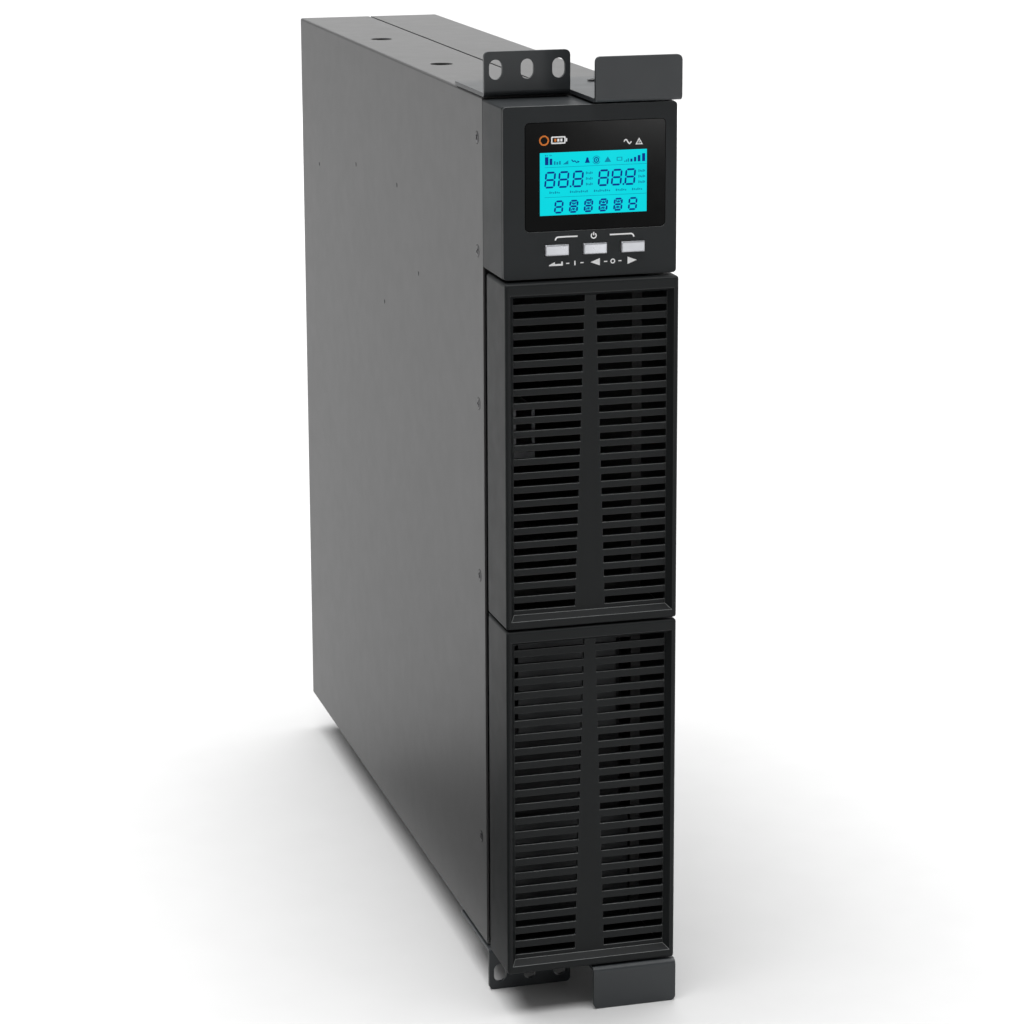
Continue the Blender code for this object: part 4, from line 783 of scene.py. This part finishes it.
def world():
    """Even sky light, white where the camera sees it."""
    made = bpy.data.worlds.new("studio")
    made.use_nodes = True
    nodes, links = made.node_tree.nodes, made.node_tree.links
    glow, seen, either, path = (nodes["Background"], nodes.new("ShaderNodeBackground"),
                                nodes.new("ShaderNodeMixShader"), nodes.new("ShaderNodeLightPath"))
    glow.inputs["Color"].default_value = seen.inputs["Color"].default_value = (1, 1, 1, 1)
    glow.inputs["Strength"].default_value = SKY
    links.new(path.outputs["Is Camera Ray"], either.inputs["Fac"])
    links.new(glow.outputs["Background"], either.inputs[1])
    links.new(seen.outputs["Background"], either.inputs[2])
    links.new(either.outputs["Shader"], nodes["World Output"].inputs["Surface"])
    bpy.context.scene.world = made


def lamps():
    """A wide sun above and area lights that the camera can't see."""
    sun = placed("sun", bpy.data.lights.new("sun", "SUN"))
    sun.data.energy, sun.data.angle = SUN, radians(SUN_SPREAD)
    sun.rotation_euler = Vector(SUN_FROM).to_track_quat("Z", "Y").to_euler()
    for name, place, aim, size, watts in LIGHTS:
        lamp = bpy.data.lights.new(name, "AREA")
        lamp.shape, lamp.size, lamp.size_y, lamp.energy = "RECTANGLE", *size, watts
        made = placed(name, lamp)
        made.visible_camera = False
        made.location = place
        made.rotation_euler = (Vector(aim) - Vector(place)).to_track_quat("-Z", "Y").to_euler()


def camera():
    """The photo's camera, from its place and its three angles."""
    turn, down, roll = radians(CAMERA_TURN), radians(CAMERA_DOWN), radians(CAMERA_ROLL)
    look = Vector((sin(turn) * cos(down), cos(turn) * cos(down), -sin(down)))
    right = Vector((cos(turn), -sin(turn), 0))
    up = right.cross(look)
    across = right * cos(roll) + up * sin(roll)
    above = up * cos(roll) - right * sin(roll)
    made = placed("camera", bpy.data.cameras.new("camera"))
    facing = Matrix((across, above, -look)).transposed().to_4x4()
    made.matrix_world = Matrix.Translation(CAMERA_PLACE) @ facing
    made.data.sensor_width, made.data.lens, made.data.shift_y = 36.0, CAMERA_LENS, CAMERA_SHIFT
    made.data.clip_end = 100.0
    bpy.context.scene.camera = made


def stage():
    """Pale floor, dark cloth, sky, lights and the camera."""
    reach = FLOOR_SIZE / 2
    pale = surface("floor_pale", (FLOOR_GREY,) * 3, 0.8, mottle=0.01, specular=0.0)
    ground("floor", (-reach, -reach), (reach, reach), 0.0, pale)
    black = one_sided(surface("cloth_black", (0.02,) * 3, 0.9, mottle=0.1, specular=0.0))
    cloth = ground("dark_cloth", CLOTH_LOW, CLOTH_HIGH, CLOTH_UP, black)
    cloth.visible_camera = cloth.visible_shadow = False
    world()
    lamps()
    camera()
    bpy.context.scene.view_settings.view_transform = "Standard"


dress_nodes()
screws()
rivets()
lcd_graphics(*window())
window_icons()
face_legends()
for fan, body in ((1, "upper_fan"), (2, "lower_fan")):
    fan_guard(fan)
    fan_rotor(fan, body)
stage()
